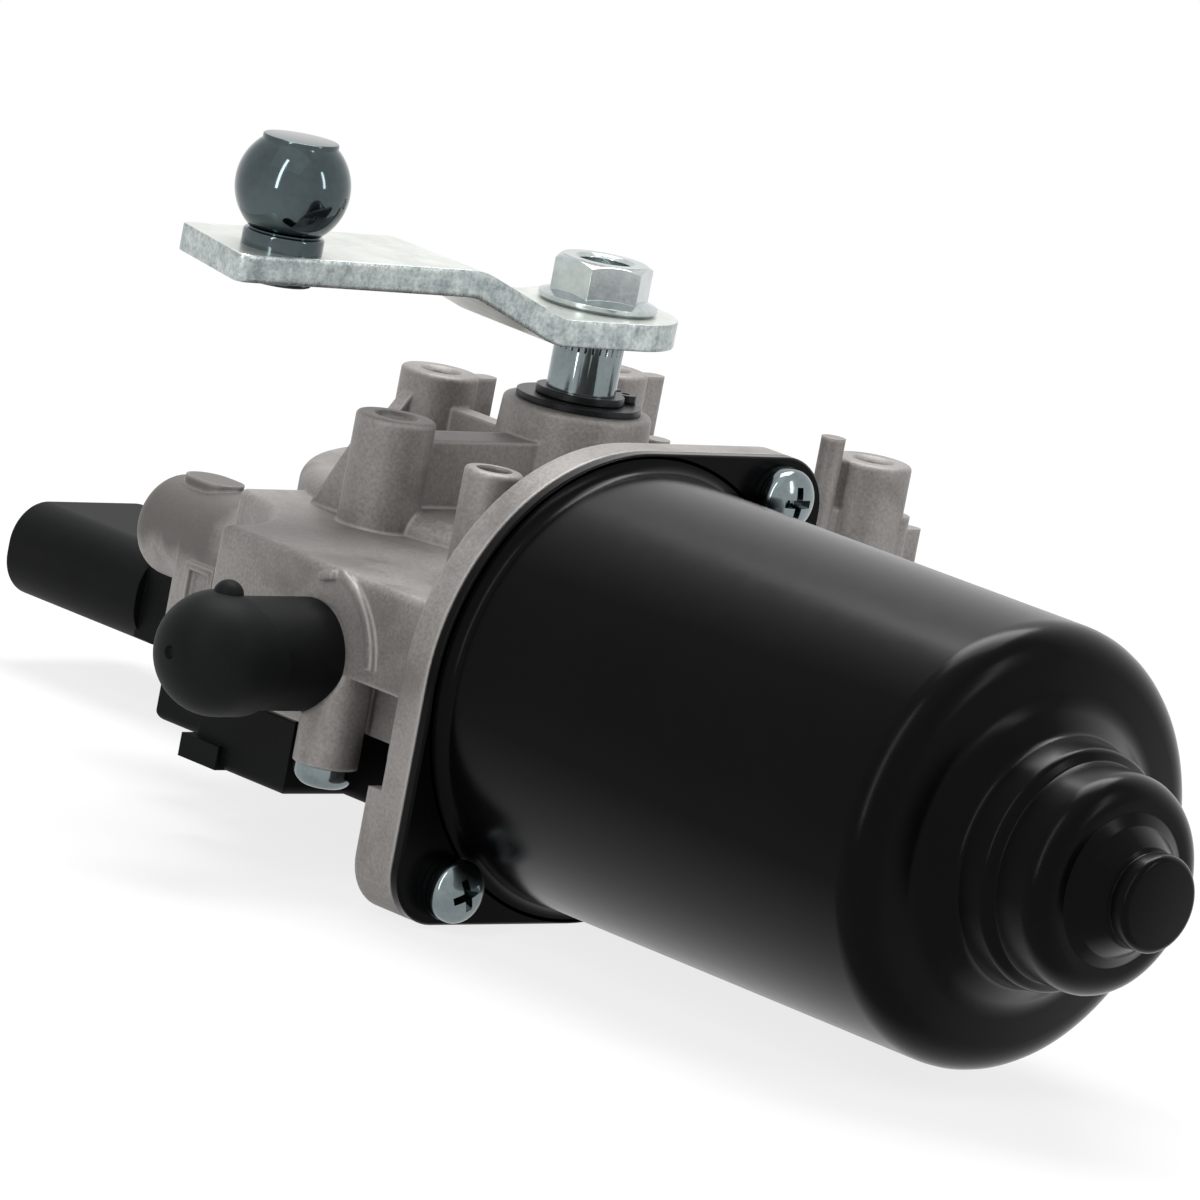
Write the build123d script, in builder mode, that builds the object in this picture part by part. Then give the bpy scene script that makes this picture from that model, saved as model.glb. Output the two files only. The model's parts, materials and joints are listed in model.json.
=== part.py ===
from build123d import *
import math
import os

# Wiper motor: a permanent-magnet motor that turns a crank through a worm gear.
# The origin is on the output shaft's axis, at the top face of the output boss.
# +Z runs up the output shaft and +X along the motor, towards the nose of its can.
# All sizes are in millimetres.

os.makedirs("parts", exist_ok=True)

# Gear train
centre_distance = 35.0
worm_axis_z = -28.6
wheel_teeth = 48
worm_pitch_radius = 5.2
pressure_angle = 20.0
tooth_backlash = 0.24
wheel_face_width = 8.5
worm_turns = 8
wheel_rim_radius = 25.5
wheel_hub_radius = 9.5
wheel_web_depth = 4.6
wheel_rib_count = 8
wheel_rib_width = 1.6
wheel_washer_thickness = 0.8
wheel_hub_drop = 2.4

wheel_pitch_radius = centre_distance - worm_pitch_radius
gear_module = 2 * wheel_pitch_radius / wheel_teeth
axial_pitch = math.pi * gear_module
lead_angle = math.degrees(math.atan(axial_pitch / (2 * math.pi * worm_pitch_radius)))
addendum = 0.92 * gear_module
dedendum = 1.2 * gear_module
worm_tip_radius = worm_pitch_radius + addendum
worm_root_radius = worm_pitch_radius - dedendum

# Running and assembly clearances
running_fit = 0.04
seat_gap = 0.03
end_float = 0.3
free_fit = 0.15
join = 0.6
tolerance = 0.01

# Output shaft and crank
shaft_radius = 5.1
shaft_bottom_z = -37.0
crank_bottom_z = 10.7
crank_thickness = 4.0
crank_lift = 6.3
crank_heading = 264.6
crank_hub_radius = 12.0
crank_width = 21.9
crank_tip_reach = 73.9
ball_tip_distance = 11.6
crank_tip_skew = 5.0
crank_tip_corner = 1.6
crank_bend_start = 15.5
crank_bend_end = 31.5
crank_bend_radius = 7.0
spigot_radius = 4.6
serration_height = 2.4
serration_count = 30
serration_depth = 0.35
stud_radius = 3.9
stud_top_z = 19.6
stud_chamfer = 0.8
nut_top_z = 21.6
nut_flange_radius = 8.75
nut_flange_height = 1.6
nut_across_flats = 13.0
nut_turn = 3.4
nut_chamfer = 0.5
ball_offset = 5.5
ball_radius = 8.22
ball_height = 9.0
ball_flat_radius = 5.45
ball_top_height = 15.9
ball_collar_radius = 5.83
ball_collar_height = 2.4
ball_neck_radius = 5.1
ball_rivet_radius = 4.0
ball_rivet_head_radius = 5.2
ball_rivet_head_height = 0.8

# Output boss, its washer and retaining ring
boss_top_radius = 10.9
boss_draft = 3.0
boss_edge = 0.8
bush_radius = 8.0
seal_depth = 2.6
seal_lip_height = 1.2
washer_radius = 9.2
washer_thickness = 1.0
ring_thickness = 1.1
ring_radius = 6.5
ring_groove_depth = 0.5
ring_ear_reach = 9.3
ring_ear_radius = 1.7
ring_neck_width = 2.7
ring_ear_spread = 13.0
ring_ear_hole = 0.6
ring_slit = 1.0

# Gear case
case_radius = 37.7
case_top_z = -15.0
case_bottom_z = -41.0
case_edge = 3.0
case_wall = 2.9
box_top_z = -18.2
box_front_y = -66.5
box_left_x = -18.5
box_left_front_y = -45.0
box_front_left_x = 2.5
box_notch_end_y = -63.0
box_notch_radius = 24.0
box_back_y = -3.0
box_edge = 1.2
front_pocket = (13.0, -54.3)
front_pocket_length = 16.0
front_pocket_width = 17.0
lead_pocket = (30.5, -48.2)
lead_pocket_length = 20.0
lead_pocket_width = 6.0
back_pocket = (34.5, -16.0)
back_pocket_length = 13.0
back_pocket_width = 17.0

# Motor flange, shared by the casting and the can
flange_face_x = 51.5
flange_thickness = 4.7
ear_thickness = 7.4
ear_top_z = -45.0
flange_land = 2.6
flange_screw_land = 3.6
flange_corner = 8.0
flange_screw_angle = 49.0
can_flange_thickness = 1.8
mouth_land = 1.8
mouth_depth = 4.4

# Worm tunnel and its bearings
tunnel_radius = 6.9
tunnel_end_radius = 5.4
worm_shaft_radius = 4.0
tunnel_left_x = -19.0
end_boss_left_x = -43.5
end_boss_radius = 7.6
end_boss_drop = 0.6
end_boss_edge = 3.0
end_lug_x = -35.2
end_lug_length = 9.5
end_lug_width = 7.0
end_lug_top_z = -20.9
end_web_left_x = -32.2
end_web_front_y = -42.6
end_web_top_z = -29.0
end_frame = 6.3
end_frame_inside = 4.2
worm_shaft_left_x = -37.0
end_chamfer = 0.5
thread_runout = 2.2
bearing_radius = 8.0
bearing_length = 8.0
end_bush_length = 9.0

# Mounting bosses
mount_top_z = -2.0
mount_radius = 5.8
mount_core_radius = 2.55
mount_mouth_radius = 3.3
front_core_depth = 14.0
left_core_depth = 12.0
rear_core_depth = 15.0
back_core_depth = 13.0
mount_edge = 0.7
front_mount = (2.2, -37.1)
left_mount = (-28.8, -0.8)
rear_mount = (21.3, 40.5)
back_mount = (-33.7, 38.1)
dowel_boss = (33.8, -46.6)
dowel_boss_radius = 4.2
dowel_hole_radius = 2.6
dowel_hole_depth = 9.0
pin_boss = (-14.0, 31.0)
pin_boss_radius = 2.0
pin_boss_top_z = -8.0
lug_distance = 9.0
lug_radius = 1.8
lug_width = 3.2
side_lug_top_z = -2.8
side_lug_length = 7.0
pin_lug_top_z = 1.2
low_lug_top_z = -12.0
low_lug_length = 9.0
arm_top_z = -9.5
arm_bottom_z = -20.0
arm_width = 7.0
gusset_thickness = 2.4
gusset_top_z = -5.5
gusset_reach = 13.5
web_top_z = -5.0
left_web_top_z = -6.5
web_width = 6.4

# Ground screw boss under the worm housing
ground_boss = (28.8, -63.5)
ground_boss_radius = 4.65
ground_boss_top_z = -32.4
recess_left_x = 31.0
recess_back_y = -59.5
recess_width = 9.0
ground_boss_bottom_z = -46.0
ground_screw_head_height = 3.2
ground_screw_head_radius = 4.3
ground_screw_head_edge = 2.2
ground_screw_shank_radius = 2.0
ground_screw_length = 9.0

# Breather on the front wall
vent_x = 24.3
vent_z = -31.4
vent_tube_radius = 8.0
vent_bore_radius = 3.0
vent_tube_tip_y = -84.0
vent_spigot_radius = 4.4
vent_spigot_length = 6.0
cap_radius = 8.9
cap_centre_y = -83.3
cap_rim_y = -79.8
cap_rim_slope = 12.0
cap_nub_radius = 2.2
cap_nub_y = -83.2
rib_arc_radius = 12.9
rib_start_angle = 5.0
rib_end_angle = 70.0
diagonal_rib_foot = (0.3, 11.3)
diagonal_rib_head = (2.9, 12.2)
rib_width = 1.3
rib_height = 0.9

# Motor can
can_radius = 31.4
can_wall = 2.0
can_end_x = 137.3
can_end_corner = 5.0
can_nose_x = 162.6
can_nub_radius = 6.83
pocket_radius = 15.5
pocket_foot_radius = 17.6
pocket_step_x = 146.0
pocket_face_x = 155.2
pocket_corner = 3.4
pocket_foot_length = 4.6
pocket_foot_drop = 0.6
pocket_foot_blend = 2.0
pocket_step_run = 0.8
pocket_step_blend = 1.2
annulus_radius = 21.5
annulus_cone = 0.8
annulus_blend = 5.0
nub_root_radius = 10.8
nub_shoulder_radius = 9.2
nub_neck_radius = 6.3
nub_neck_x = 159.4
nub_neck_half = 0.55
nub_shoulder_rise = 0.9
nub_edge = 0.9
nose_bore_radius = 4.8
can_flange_blend = 1.8

# Screws that hold the can
can_screw_radius = 2.4
can_screw_head_radius = 4.75
can_screw_head_height = 3.6
can_screw_head_edge = 1.6
lock_washer_radius = 4.6
lock_washer_thickness = 1.2
lock_washer_slit = 0.8
cross_width = 1.1
cross_length = 5.2
cross_depth = 2.0

# Armature, magnets and brush gear
magnet_thickness = 5.4
magnet_arc = 128.0
magnet_left_x = 74.0
magnet_length = 52.0
air_gap = 1.1
core_left_x = 79.0
core_length = 42.0
slot_count = 12
slot_width = 2.2
winding_inset = 2.3
winding_length = 6.5
winding_inner_radius = 6.2
commutator_radius = 11.5
commutator_left_x = 54.9
commutator_length = 15.0
commutator_slot = 0.7
riser_radius = 12.9
riser_length = 2.2
rotor_shaft_right_x = 157.5
rear_bush_left_x = 143.4
rear_bush_length = 6.4
rear_bush_radius = 8.0
spring_plate_thickness = 0.6
spring_plate_slots = 6
spring_plate_slot_length = 3.0
spring_plate_slot_width = 1.2
brush_card_thickness = 2.4
brush_card_gap = 0.2
brush_card_hole_radius = 13.6
card_notch_count = 3
card_notch_angle = 80.0
card_notch_depth = 5.0
card_notch_width = 6.0
brush_width = 5.0
brush_height = 5.6
brush_share = 0.62
brush_holder_wall = 0.7
brush_left_x = 56.2
brush_angles = (30.0, 210.0, 262.0)
brush_holder_inner = 13.4
brush_holder_inset = 2.4
spring_radius = 2.0
spring_wire = 0.5
spring_turns = 3.0
choke_radius = 2.9
choke_length = 12.0
choke_core_radius = 1.6
choke_core_length = 14.8
choke_inset = 8.2
choke_angles = (105.0, 330.0)
magnet_clip_thickness = 0.8
magnet_clip_leg = 3.6
magnet_clip_inset = 4.0
slot_foot_radius = 12.0
slot_head_inset = 2.1
slot_foot_width = 2.6
slot_head_width = 7.4
slot_fill_gap = 0.35
winding_corner = 2.4
bearing_flange_radius = 10.0
bearing_flange_thickness = 1.0
thrust_pad_thickness = 1.6
thrust_pad_edge = 0.4
nose_pad_thickness = 2.7
holder_length = 8.0
holder_seat_length = 2.0
holder_bore_radius = 6.6
lead_window_x = 38.0
lead_window_width = 7.0
lead_window_height = 5.0
lead_y = -48.4
lead_z = -36.5
lead_thickness = 0.6
lead_width = 1.2
lead_pitch = 2.0
lead_drop_x = 34.0
lead_foot_length = 5.0
lead_bend_radius = 0.8

# Cover and connector
cover_floor_z = -52.4
cover_wall = 2.0
cover_radius = 38.6
cover_front_y = -65.0
cover_front_left_x = 3.5
cover_front_right_x = 23.0
cover_step_y = -53.5
cover_right_x = 42.5
cover_edge = 1.4
gasket_thickness = 0.8
latch_corner = (1.3, -66.0)
latch_top_z = -49.0
latch_length = 6.0
latch_width = 8.1
connector_y = -6.0
tongue_width = 22.0
tongue_right_x = -31.5
slot_height = 3.0
slot_reach = 14.0
hood_left_x = -93.0
hood_right_x = -63.0
hood_front_y = -21.0
hood_back_y = 9.0
hood_top_z = -38.8
hood_bottom_z = -53.2
hood_corner = 6.4
hood_wall = 1.8
hood_depth = 26.0
neck_right_x = -30.0
neck_top_z = -39.6
neck_bottom_z = -51.9
neck_width = 27.0
terminal_count = 5
terminal_pitch = 4.6
terminal_width = 2.3
terminal_thickness = 0.8
terminal_left_x = -84.0
terminal_step_x = -58.0
terminal_step_run = 2.6
terminal_bend_radius = 0.9
carrier_thickness = 1.6
carrier_radius = 31.0
carrier_tail_right_x = 38.0
carrier_tail_front_y = -51.2
carrier_tail_length = 24.0
carrier_tail_width = 30.0
strip_right_x = -22.0
disc_thickness = 0.6
disc_radius = 24.0
disc_gap_angle = 200.0
disc_gap_length = 5.0
disc_gap_width = 9.0
finger_count = 3
finger_foot_x = -20.0
finger_foot_length = 5.0
finger_tip_x = 6.0
finger_tip_half = 2.0
finger_tip_drop = 1.2
finger_bend_radius = 0.7
finger_first_y = 12.0
finger_pitch = 4.6
finger_width = 2.6
finger_thickness = 0.4

worm_y = -centre_distance
can_inner_radius = can_radius - can_wall
flange_radius = can_radius + flange_land
flange_screw_radius = flange_radius + flange_screw_land
mouth_radius = can_inner_radius - mouth_land
core_radius = can_inner_radius - magnet_thickness - air_gap
winding_radius = core_radius - winding_inset
slot_head_radius = core_radius - slot_head_inset
brush_card_radius = can_inner_radius - brush_card_gap
brush_holder_outer = brush_card_radius - brush_holder_inset
brush_length = brush_share * (brush_holder_outer - commutator_radius)
choke_reach = brush_card_radius - choke_inset
crank_ball_reach = crank_tip_reach - ball_tip_distance
case_bore_radius = case_radius - case_wall
flange_back_x = flange_face_x - flange_thickness
can_flange_front_x = flange_face_x + can_flange_thickness
mouth_floor_x = flange_face_x - mouth_depth
crank_top_z = crank_bottom_z + crank_thickness
crank_pad_z = crank_top_z + crank_lift

# Planes and axes that several pieces share
output_profile = Plane.XZ
worm_axis = Axis((0, worm_y, worm_axis_z), (1, 0, 0))
motor_profile = Plane(origin=(0, worm_y, worm_axis_z), x_dir=(1, 0, 0), z_dir=(0, -1, 0))
motor_section = Plane(origin=(0, worm_y, worm_axis_z), x_dir=(0, 1, 0), z_dir=(1, 0, 0))
front_wall = Plane(origin=(vent_x, box_front_y, vent_z), x_dir=(1, 0, 0), z_dir=(0, -1, 0))
crank_direction = Vector(math.cos(math.radians(crank_heading)), math.sin(math.radians(crank_heading)), 0)
crank_side_direction = crank_direction.cross(Vector(0, 0, -1))
ball_point = crank_direction * crank_ball_reach + crank_side_direction * ball_offset
crank_plan = Plane(origin=(0, 0, 0), x_dir=crank_direction, z_dir=(0, 0, 1))
crank_side = Plane(origin=(0, 0, 0), x_dir=crank_direction, z_dir=crank_direction.cross(Vector(0, 0, 1)))
ball_profile = Plane(origin=ball_point, x_dir=(1, 0, 0), z_dir=(0, -1, 0))


def save(part, name):
    part.label = name
    export_step(part, f"parts/{name}.step")


def near(sketch, x, y):
    """The corner of a sketch that lies nearest to a point."""
    return sketch.vertices().sort_by_distance((x, y, 0))[0]


def screw_places(radius=flange_screw_radius):
    """The two flange screws, on a diagonal of the motor section."""
    return PolarLocations(radius, 2, start_angle=flange_screw_angle, rotate=False)


def flange_outline():
    """Round flange with two square ears, in the motor section."""
    with BuildSketch() as outline:
        Circle(flange_radius)
        with Locations((-flange_radius / 2, -flange_radius / 2), (flange_radius / 2, flange_radius / 2)):
            Rectangle(flange_radius, flange_radius)
        corners = outline.vertices().sort_by_distance((0, 0, 0))[-2:]
        fillet(corners, flange_corner)
    return outline.sketch


def gusset(point, heading, top_z, base_z, reach):
    """Triangular web that leans against a mounting boss."""
    across = Vector(*heading).cross(Vector(0, 0, 1))
    plane = Plane(origin=(point[0], point[1], 0), x_dir=heading, z_dir=across)
    with BuildPart(mode=Mode.PRIVATE) as web:
        with BuildSketch(plane):
            with BuildLine():
                Polyline((0, base_z), (reach, base_z), (mount_radius, top_z), (0, top_z), close=True)
            make_face()
        extrude(amount=gusset_thickness / 2, both=True)
    return web.part


# Die-cast gear housing
with BuildPart() as gear_housing:
    # Round gear case
    with BuildSketch(Plane.XY.offset(case_bottom_z)):
        Circle(case_radius)
    extrude(amount=case_top_z - case_bottom_z)
    fillet(gear_housing.faces().sort_by(Axis.Z)[-1].edges(), case_edge)

    # Worm housing with its scooped front corner
    with BuildSketch(Plane.XY.offset(case_bottom_z)):
        with BuildLine():
            Polyline(
                (box_front_left_x, box_notch_end_y),
                (box_front_left_x, box_front_y),
                (flange_back_x, box_front_y),
                (flange_back_x, box_back_y),
                (box_left_x, box_back_y),
                (box_left_x, box_left_front_y),
            )
            RadiusArc((box_left_x, box_left_front_y), (box_front_left_x, box_notch_end_y), box_notch_radius)
        make_face()
    extrude(amount=box_top_z - case_bottom_z)
    box_rim = gear_housing.edges().filter_by_position(Axis.Z, box_top_z - tolerance, box_top_z + tolerance)
    fillet(box_rim.filter_by(lambda e: e.center().Y < box_left_front_y + case_edge), box_edge)

    # Flange for the motor can
    with BuildSketch(motor_section.offset(flange_back_x)):
        add(flange_outline())
    extrude(amount=flange_thickness)
    with BuildSketch(motor_section.offset(flange_face_x - ear_thickness)):
        add(flange_outline())
        with Locations((0, ear_top_z - worm_axis_z)):
            Rectangle(
                4 * flange_radius, 4 * flange_radius, align=(Align.CENTER, Align.MIN), mode=Mode.SUBTRACT
            )
    extrude(amount=ear_thickness)

    # Closed boss at the free end of the worm
    with BuildSketch(motor_section.offset(end_boss_left_x)):
        with Locations((0, -end_boss_drop)):
            Circle(end_boss_radius)
    extrude(amount=tunnel_left_x - end_boss_left_x + end_boss_radius)
    end_rim = gear_housing.faces().sort_by(Axis.X)[0].edges()
    fillet(end_rim, end_boss_edge)
    with BuildSketch(Plane.XY.offset(end_lug_top_z)):
        with Locations((end_lug_x, worm_y)):
            SlotOverall(end_lug_length, end_lug_width)
    extrude(amount=worm_axis_z - end_lug_top_z)
    with BuildSketch(Plane.XY.offset(case_bottom_z)):
        with Locations((end_web_left_x, end_web_front_y)):
            Rectangle(
                box_left_x - end_web_left_x + box_edge,
                worm_y - end_web_front_y + tunnel_end_radius,
                align=(Align.MIN, Align.MIN),
            )
    extrude(amount=end_web_top_z - case_bottom_z)
    with BuildSketch(Plane.XZ.offset(-end_web_front_y)):
        with Locations((end_web_left_x + end_frame, case_bottom_z + end_frame)):
            Rectangle(end_frame, end_frame)
            Rectangle(end_frame_inside, end_frame_inside, mode=Mode.SUBTRACT)
    extrude(amount=rib_height)

    # Output boss
    with BuildSketch(Plane.XY):
        Circle(boss_top_radius)
    extrude(amount=case_top_z - 1, taper=-boss_draft)
    boss_face = gear_housing.faces().filter_by(Axis.Z).filter_by_position(Axis.Z, -tolerance, tolerance)
    fillet(boss_face.edges(), boss_edge)

    # Arms that carry the rear and back mounting bosses
    for mount in (rear_mount, back_mount):
        reach = math.hypot(*mount)
        heading = math.degrees(math.atan2(mount[1], mount[0]))
        with BuildSketch(Plane.XY.offset(arm_bottom_z).rotated((0, 0, heading))):
            with Locations((reach / 2 + arm_width, 0)):
                SlotCenterToCenter(reach - arm_width, arm_width)
        extrude(amount=arm_top_z - arm_bottom_z)

    # Mounting bosses, the dowel boss and the small pin boss
    with BuildSketch(Plane.XY.offset(mount_top_z)):
        with Locations(front_mount, left_mount, rear_mount, back_mount):
            Circle(mount_radius)
        with Locations(dowel_boss):
            Circle(dowel_boss_radius)
    extrude(amount=arm_bottom_z - mount_top_z)
    boss_rims = gear_housing.edges().filter_by(lambda e: abs(e.center().Z - mount_top_z) < tolerance)
    fillet(boss_rims, mount_edge)
    with BuildSketch(Plane.XY.offset(pin_boss_top_z)):
        with Locations(pin_boss):
            Circle(pin_boss_radius)
    extrude(amount=case_top_z - 1 - pin_boss_top_z)

    # Casting lugs beside the bosses
    left_lug = (left_mount[0], left_mount[1] + mount_radius)
    back_lug = (back_mount[0], back_mount[1] + mount_radius)
    with BuildSketch(Plane.XY.offset(side_lug_top_z)):
        with Locations(left_lug, back_lug):
            SlotCenterToCenter(side_lug_length, lug_width, rotation=90)
    extrude(amount=arm_top_z - side_lug_top_z - lug_width)
    with BuildSketch(Plane.XY.offset(pin_lug_top_z)):
        with Locations((rear_mount[0], rear_mount[1] - lug_distance)):
            Circle(lug_radius)
    extrude(amount=case_top_z - pin_lug_top_z)
    with BuildSketch(Plane.XY.offset(low_lug_top_z)):
        with Locations((rear_mount[0], rear_mount[1] + mount_radius)):
            SlotCenterToCenter(low_lug_length, lug_width, rotation=90)
    extrude(amount=arm_bottom_z - low_lug_top_z)

    # Webs from the output boss to the front and left mounting bosses
    with BuildSketch(Plane.XY.offset(web_top_z)):
        with Locations((front_mount[0] / 2, front_mount[1] / 2)):
            Rectangle(web_width, -front_mount[1])
    extrude(amount=box_top_z - web_top_z - 0.5)
    with BuildSketch(Plane.XY.offset(left_web_top_z)):
        with Locations((left_mount[0] / 2, left_mount[1])):
            Rectangle(-left_mount[0], gusset_thickness + 1)
    extrude(amount=case_top_z - web_top_z)
    add(gusset(front_mount, (-1, 0, 0), gusset_top_z, box_top_z - 0.5, gusset_reach))
    add(gusset(front_mount, (0, 1, 0), gusset_top_z, box_top_z - 0.5, gusset_reach))
    add(gusset(left_mount, (0, -1, 0), gusset_top_z, case_top_z - 0.5, gusset_reach))

    # Recess beside the ground boss
    with BuildSketch(Plane.XY.offset(case_bottom_z)):
        with Locations((recess_left_x, recess_back_y)):
            Rectangle(
                flange_face_x - ear_thickness - recess_left_x,
                recess_width,
                align=(Align.MIN, Align.MAX),
            )
    extrude(amount=ground_boss_top_z - case_bottom_z, mode=Mode.SUBTRACT)

    # Boss for the ground screw
    with BuildSketch(Plane.XY.offset(ground_boss_bottom_z)):
        with Locations(ground_boss):
            Circle(ground_boss_radius)
    extrude(amount=ground_boss_top_z - ground_boss_bottom_z)

    with BuildSketch(front_wall):
        Circle(vent_tube_radius + seat_gap)
    extrude(amount=ground_boss_radius, mode=Mode.SUBTRACT)

    # Arched rib round the breather, and the short diagonal rib above it
    rib_start = math.radians(rib_start_angle)
    rib_end = math.radians(rib_end_angle)
    with BuildSketch(front_wall):
        Circle(rib_arc_radius + rib_width)
        Circle(rib_arc_radius, mode=Mode.SUBTRACT)
        with BuildLine():
            Polyline(
                (0, 0),
                (2 * rib_arc_radius * math.cos(rib_start), 2 * rib_arc_radius * math.sin(rib_start)),
                (2 * rib_arc_radius, 2 * rib_arc_radius),
                (2 * rib_arc_radius * math.cos(rib_end), 2 * rib_arc_radius * math.sin(rib_end)),
                close=True,
            )
        make_face(mode=Mode.INTERSECT)
    extrude(amount=rib_height)
    with BuildSketch(front_wall):
        with BuildLine():
            Line(diagonal_rib_foot, diagonal_rib_head)
        trace(line_width=rib_width)
    extrude(amount=rib_height)

    # Gear cavity, worm tunnel, bearing seat and mouth towards the motor
    with BuildSketch(Plane.XY.offset(case_bottom_z)):
        Circle(case_bore_radius)
    extrude(amount=case_top_z - case_wall - case_bottom_z, mode=Mode.SUBTRACT)
    with BuildSketch(motor_section.offset(tunnel_left_x)):
        Circle(tunnel_radius)
    extrude(amount=flange_face_x - tunnel_left_x, mode=Mode.SUBTRACT)
    with BuildSketch(motor_section.offset(worm_shaft_left_x - 2)):
        Circle(tunnel_end_radius)
    extrude(amount=tunnel_left_x - worm_shaft_left_x + 2, mode=Mode.SUBTRACT)
    with BuildSketch(motor_section.offset(mouth_floor_x - bearing_length)):
        Circle(bearing_radius)
    extrude(amount=bearing_length, mode=Mode.SUBTRACT)
    with BuildSketch(motor_section.offset(mouth_floor_x)):
        Circle(mouth_radius)
    extrude(amount=mouth_depth, mode=Mode.SUBTRACT)

    # Window for the motor leads
    with Locations((lead_window_x, lead_y, lead_z)):
        Box(
            mouth_floor_x - lead_window_x + 1,
            lead_window_width,
            lead_window_height,
            align=(Align.MIN, Align.CENTER, Align.CENTER),
            mode=Mode.SUBTRACT,
        )

    # Pockets either side of the worm tunnel
    with BuildSketch(Plane.XY.offset(case_bottom_z)):
        with Locations(front_pocket):
            Rectangle(front_pocket_length, front_pocket_width)
        with Locations(lead_pocket):
            Rectangle(lead_pocket_length, lead_pocket_width)
        with Locations(back_pocket):
            Rectangle(back_pocket_length, back_pocket_width)
    extrude(amount=box_top_z - case_wall - case_bottom_z, mode=Mode.SUBTRACT)

    # Bores of the output boss
    with Locations((0, 0, 0)):
        Hole(bush_radius, depth=case_wall - case_top_z)

    # Tapped holes, their mouths and the dowel hole
    mounts = (front_mount, left_mount, rear_mount, back_mount)
    core_depths = (front_core_depth, left_core_depth, rear_core_depth, back_core_depth)
    for mount, core_depth in zip(mounts, core_depths):
        with BuildSketch(Plane.XY.offset(mount_top_z)):
            with Locations(mount):
                Circle(mount_core_radius)
        extrude(amount=-core_depth, mode=Mode.SUBTRACT)
    with BuildSketch(Plane.XY.offset(mount_top_z)):
        with Locations(dowel_boss):
            Circle(dowel_hole_radius)
    extrude(amount=-dowel_hole_depth, mode=Mode.SUBTRACT)
    mouths = gear_housing.edges().filter_by(GeomType.CIRCLE)
    mouths = mouths.filter_by_position(Axis.Z, mount_top_z - tolerance, mount_top_z + tolerance)
    mouths = mouths.filter_by(lambda e: abs(e.radius - mount_core_radius) < tolerance)
    chamfer(mouths, mount_mouth_radius - mount_core_radius)

    # Screw holes of the flange and the ground boss
    with BuildSketch(motor_section.offset(flange_back_x)):
        with screw_places():
            Circle(can_screw_radius + seat_gap)
    extrude(amount=flange_thickness, mode=Mode.SUBTRACT)
    with BuildSketch(Plane.XY.offset(ground_boss_bottom_z)):
        with Locations(ground_boss):
            Circle(ground_screw_shank_radius + seat_gap)
    extrude(amount=ground_screw_length, mode=Mode.SUBTRACT)

    # Breather bore through the front wall
    with BuildSketch(front_wall):
        Circle(vent_spigot_radius + seat_gap)
    extrude(amount=-vent_spigot_length, mode=Mode.SUBTRACT)
save(gear_housing.part, "gear_housing")

# Drawn steel can of the motor
with BuildPart() as motor_can:
    with BuildSketch(motor_profile) as can_profile:
        with BuildLine():
            Polyline(
                (flange_face_x, 0),
                (flange_face_x, can_radius),
                (can_end_x, can_radius),
                (can_end_x + annulus_cone, annulus_radius),
                (pocket_step_x - pocket_foot_length, pocket_foot_radius),
                (pocket_step_x, pocket_foot_radius - pocket_foot_drop),
                (pocket_step_x + pocket_step_run, pocket_radius),
                (pocket_face_x, pocket_radius),
                (pocket_face_x, nub_root_radius),
                (pocket_face_x + nub_shoulder_rise, nub_shoulder_radius),
                (nub_neck_x - nub_neck_half, can_nub_radius),
                (nub_neck_x, nub_neck_radius),
                (nub_neck_x + nub_neck_half, can_nub_radius),
                (can_nose_x, can_nub_radius),
                (can_nose_x, 0),
                close=True,
            )
        make_face()
        fillet(near(can_profile, can_end_x, can_radius), can_end_corner)
        fillet(near(can_profile, can_end_x + annulus_cone, annulus_radius), annulus_blend)
        fillet(near(can_profile, pocket_step_x - pocket_foot_length, pocket_foot_radius), pocket_foot_blend)
        pocket_step = near(can_profile, pocket_step_x, pocket_foot_radius - pocket_foot_drop)
        fillet(pocket_step, pocket_step_blend)
        fillet(near(can_profile, pocket_face_x, pocket_radius), pocket_corner)
        fillet(near(can_profile, can_nose_x, can_nub_radius), nub_edge)
    revolve(axis=worm_axis)
    with BuildSketch(motor_section.offset(flange_face_x)):
        add(flange_outline())
    extrude(amount=can_flange_thickness)
    with BuildSketch(motor_profile) as can_inside:
        with BuildLine():
            Polyline(
                (flange_face_x, 0),
                (flange_face_x, can_inner_radius),
                (can_end_x - can_wall, can_inner_radius),
                (can_end_x - can_wall + annulus_cone, annulus_radius - 1),
                (pocket_step_x - 2.0, pocket_radius - can_wall),
                (pocket_face_x - can_wall, pocket_radius - can_wall),
                (pocket_face_x - can_wall, nose_bore_radius),
                (can_nose_x - can_wall, nose_bore_radius),
                (can_nose_x - can_wall, 0),
                close=True,
            )
        make_face()
        fillet(near(can_inside, can_end_x - can_wall, can_inner_radius), can_end_corner - can_wall)
    revolve(axis=worm_axis, mode=Mode.SUBTRACT)
    with BuildSketch(motor_section.offset(flange_face_x)):
        with screw_places():
            Circle(can_screw_radius + seat_gap)
    extrude(amount=can_flange_thickness, mode=Mode.SUBTRACT)
    drawn_edge = motor_can.edges().filter_by(GeomType.CIRCLE)
    drawn_edge = drawn_edge.filter_by(
        lambda e: abs(e.radius - can_radius) + abs(e.center().X - can_flange_front_x) < tolerance
    )
    fillet(drawn_edge, can_flange_blend)
save(motor_can.part, "motor_can")

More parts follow.
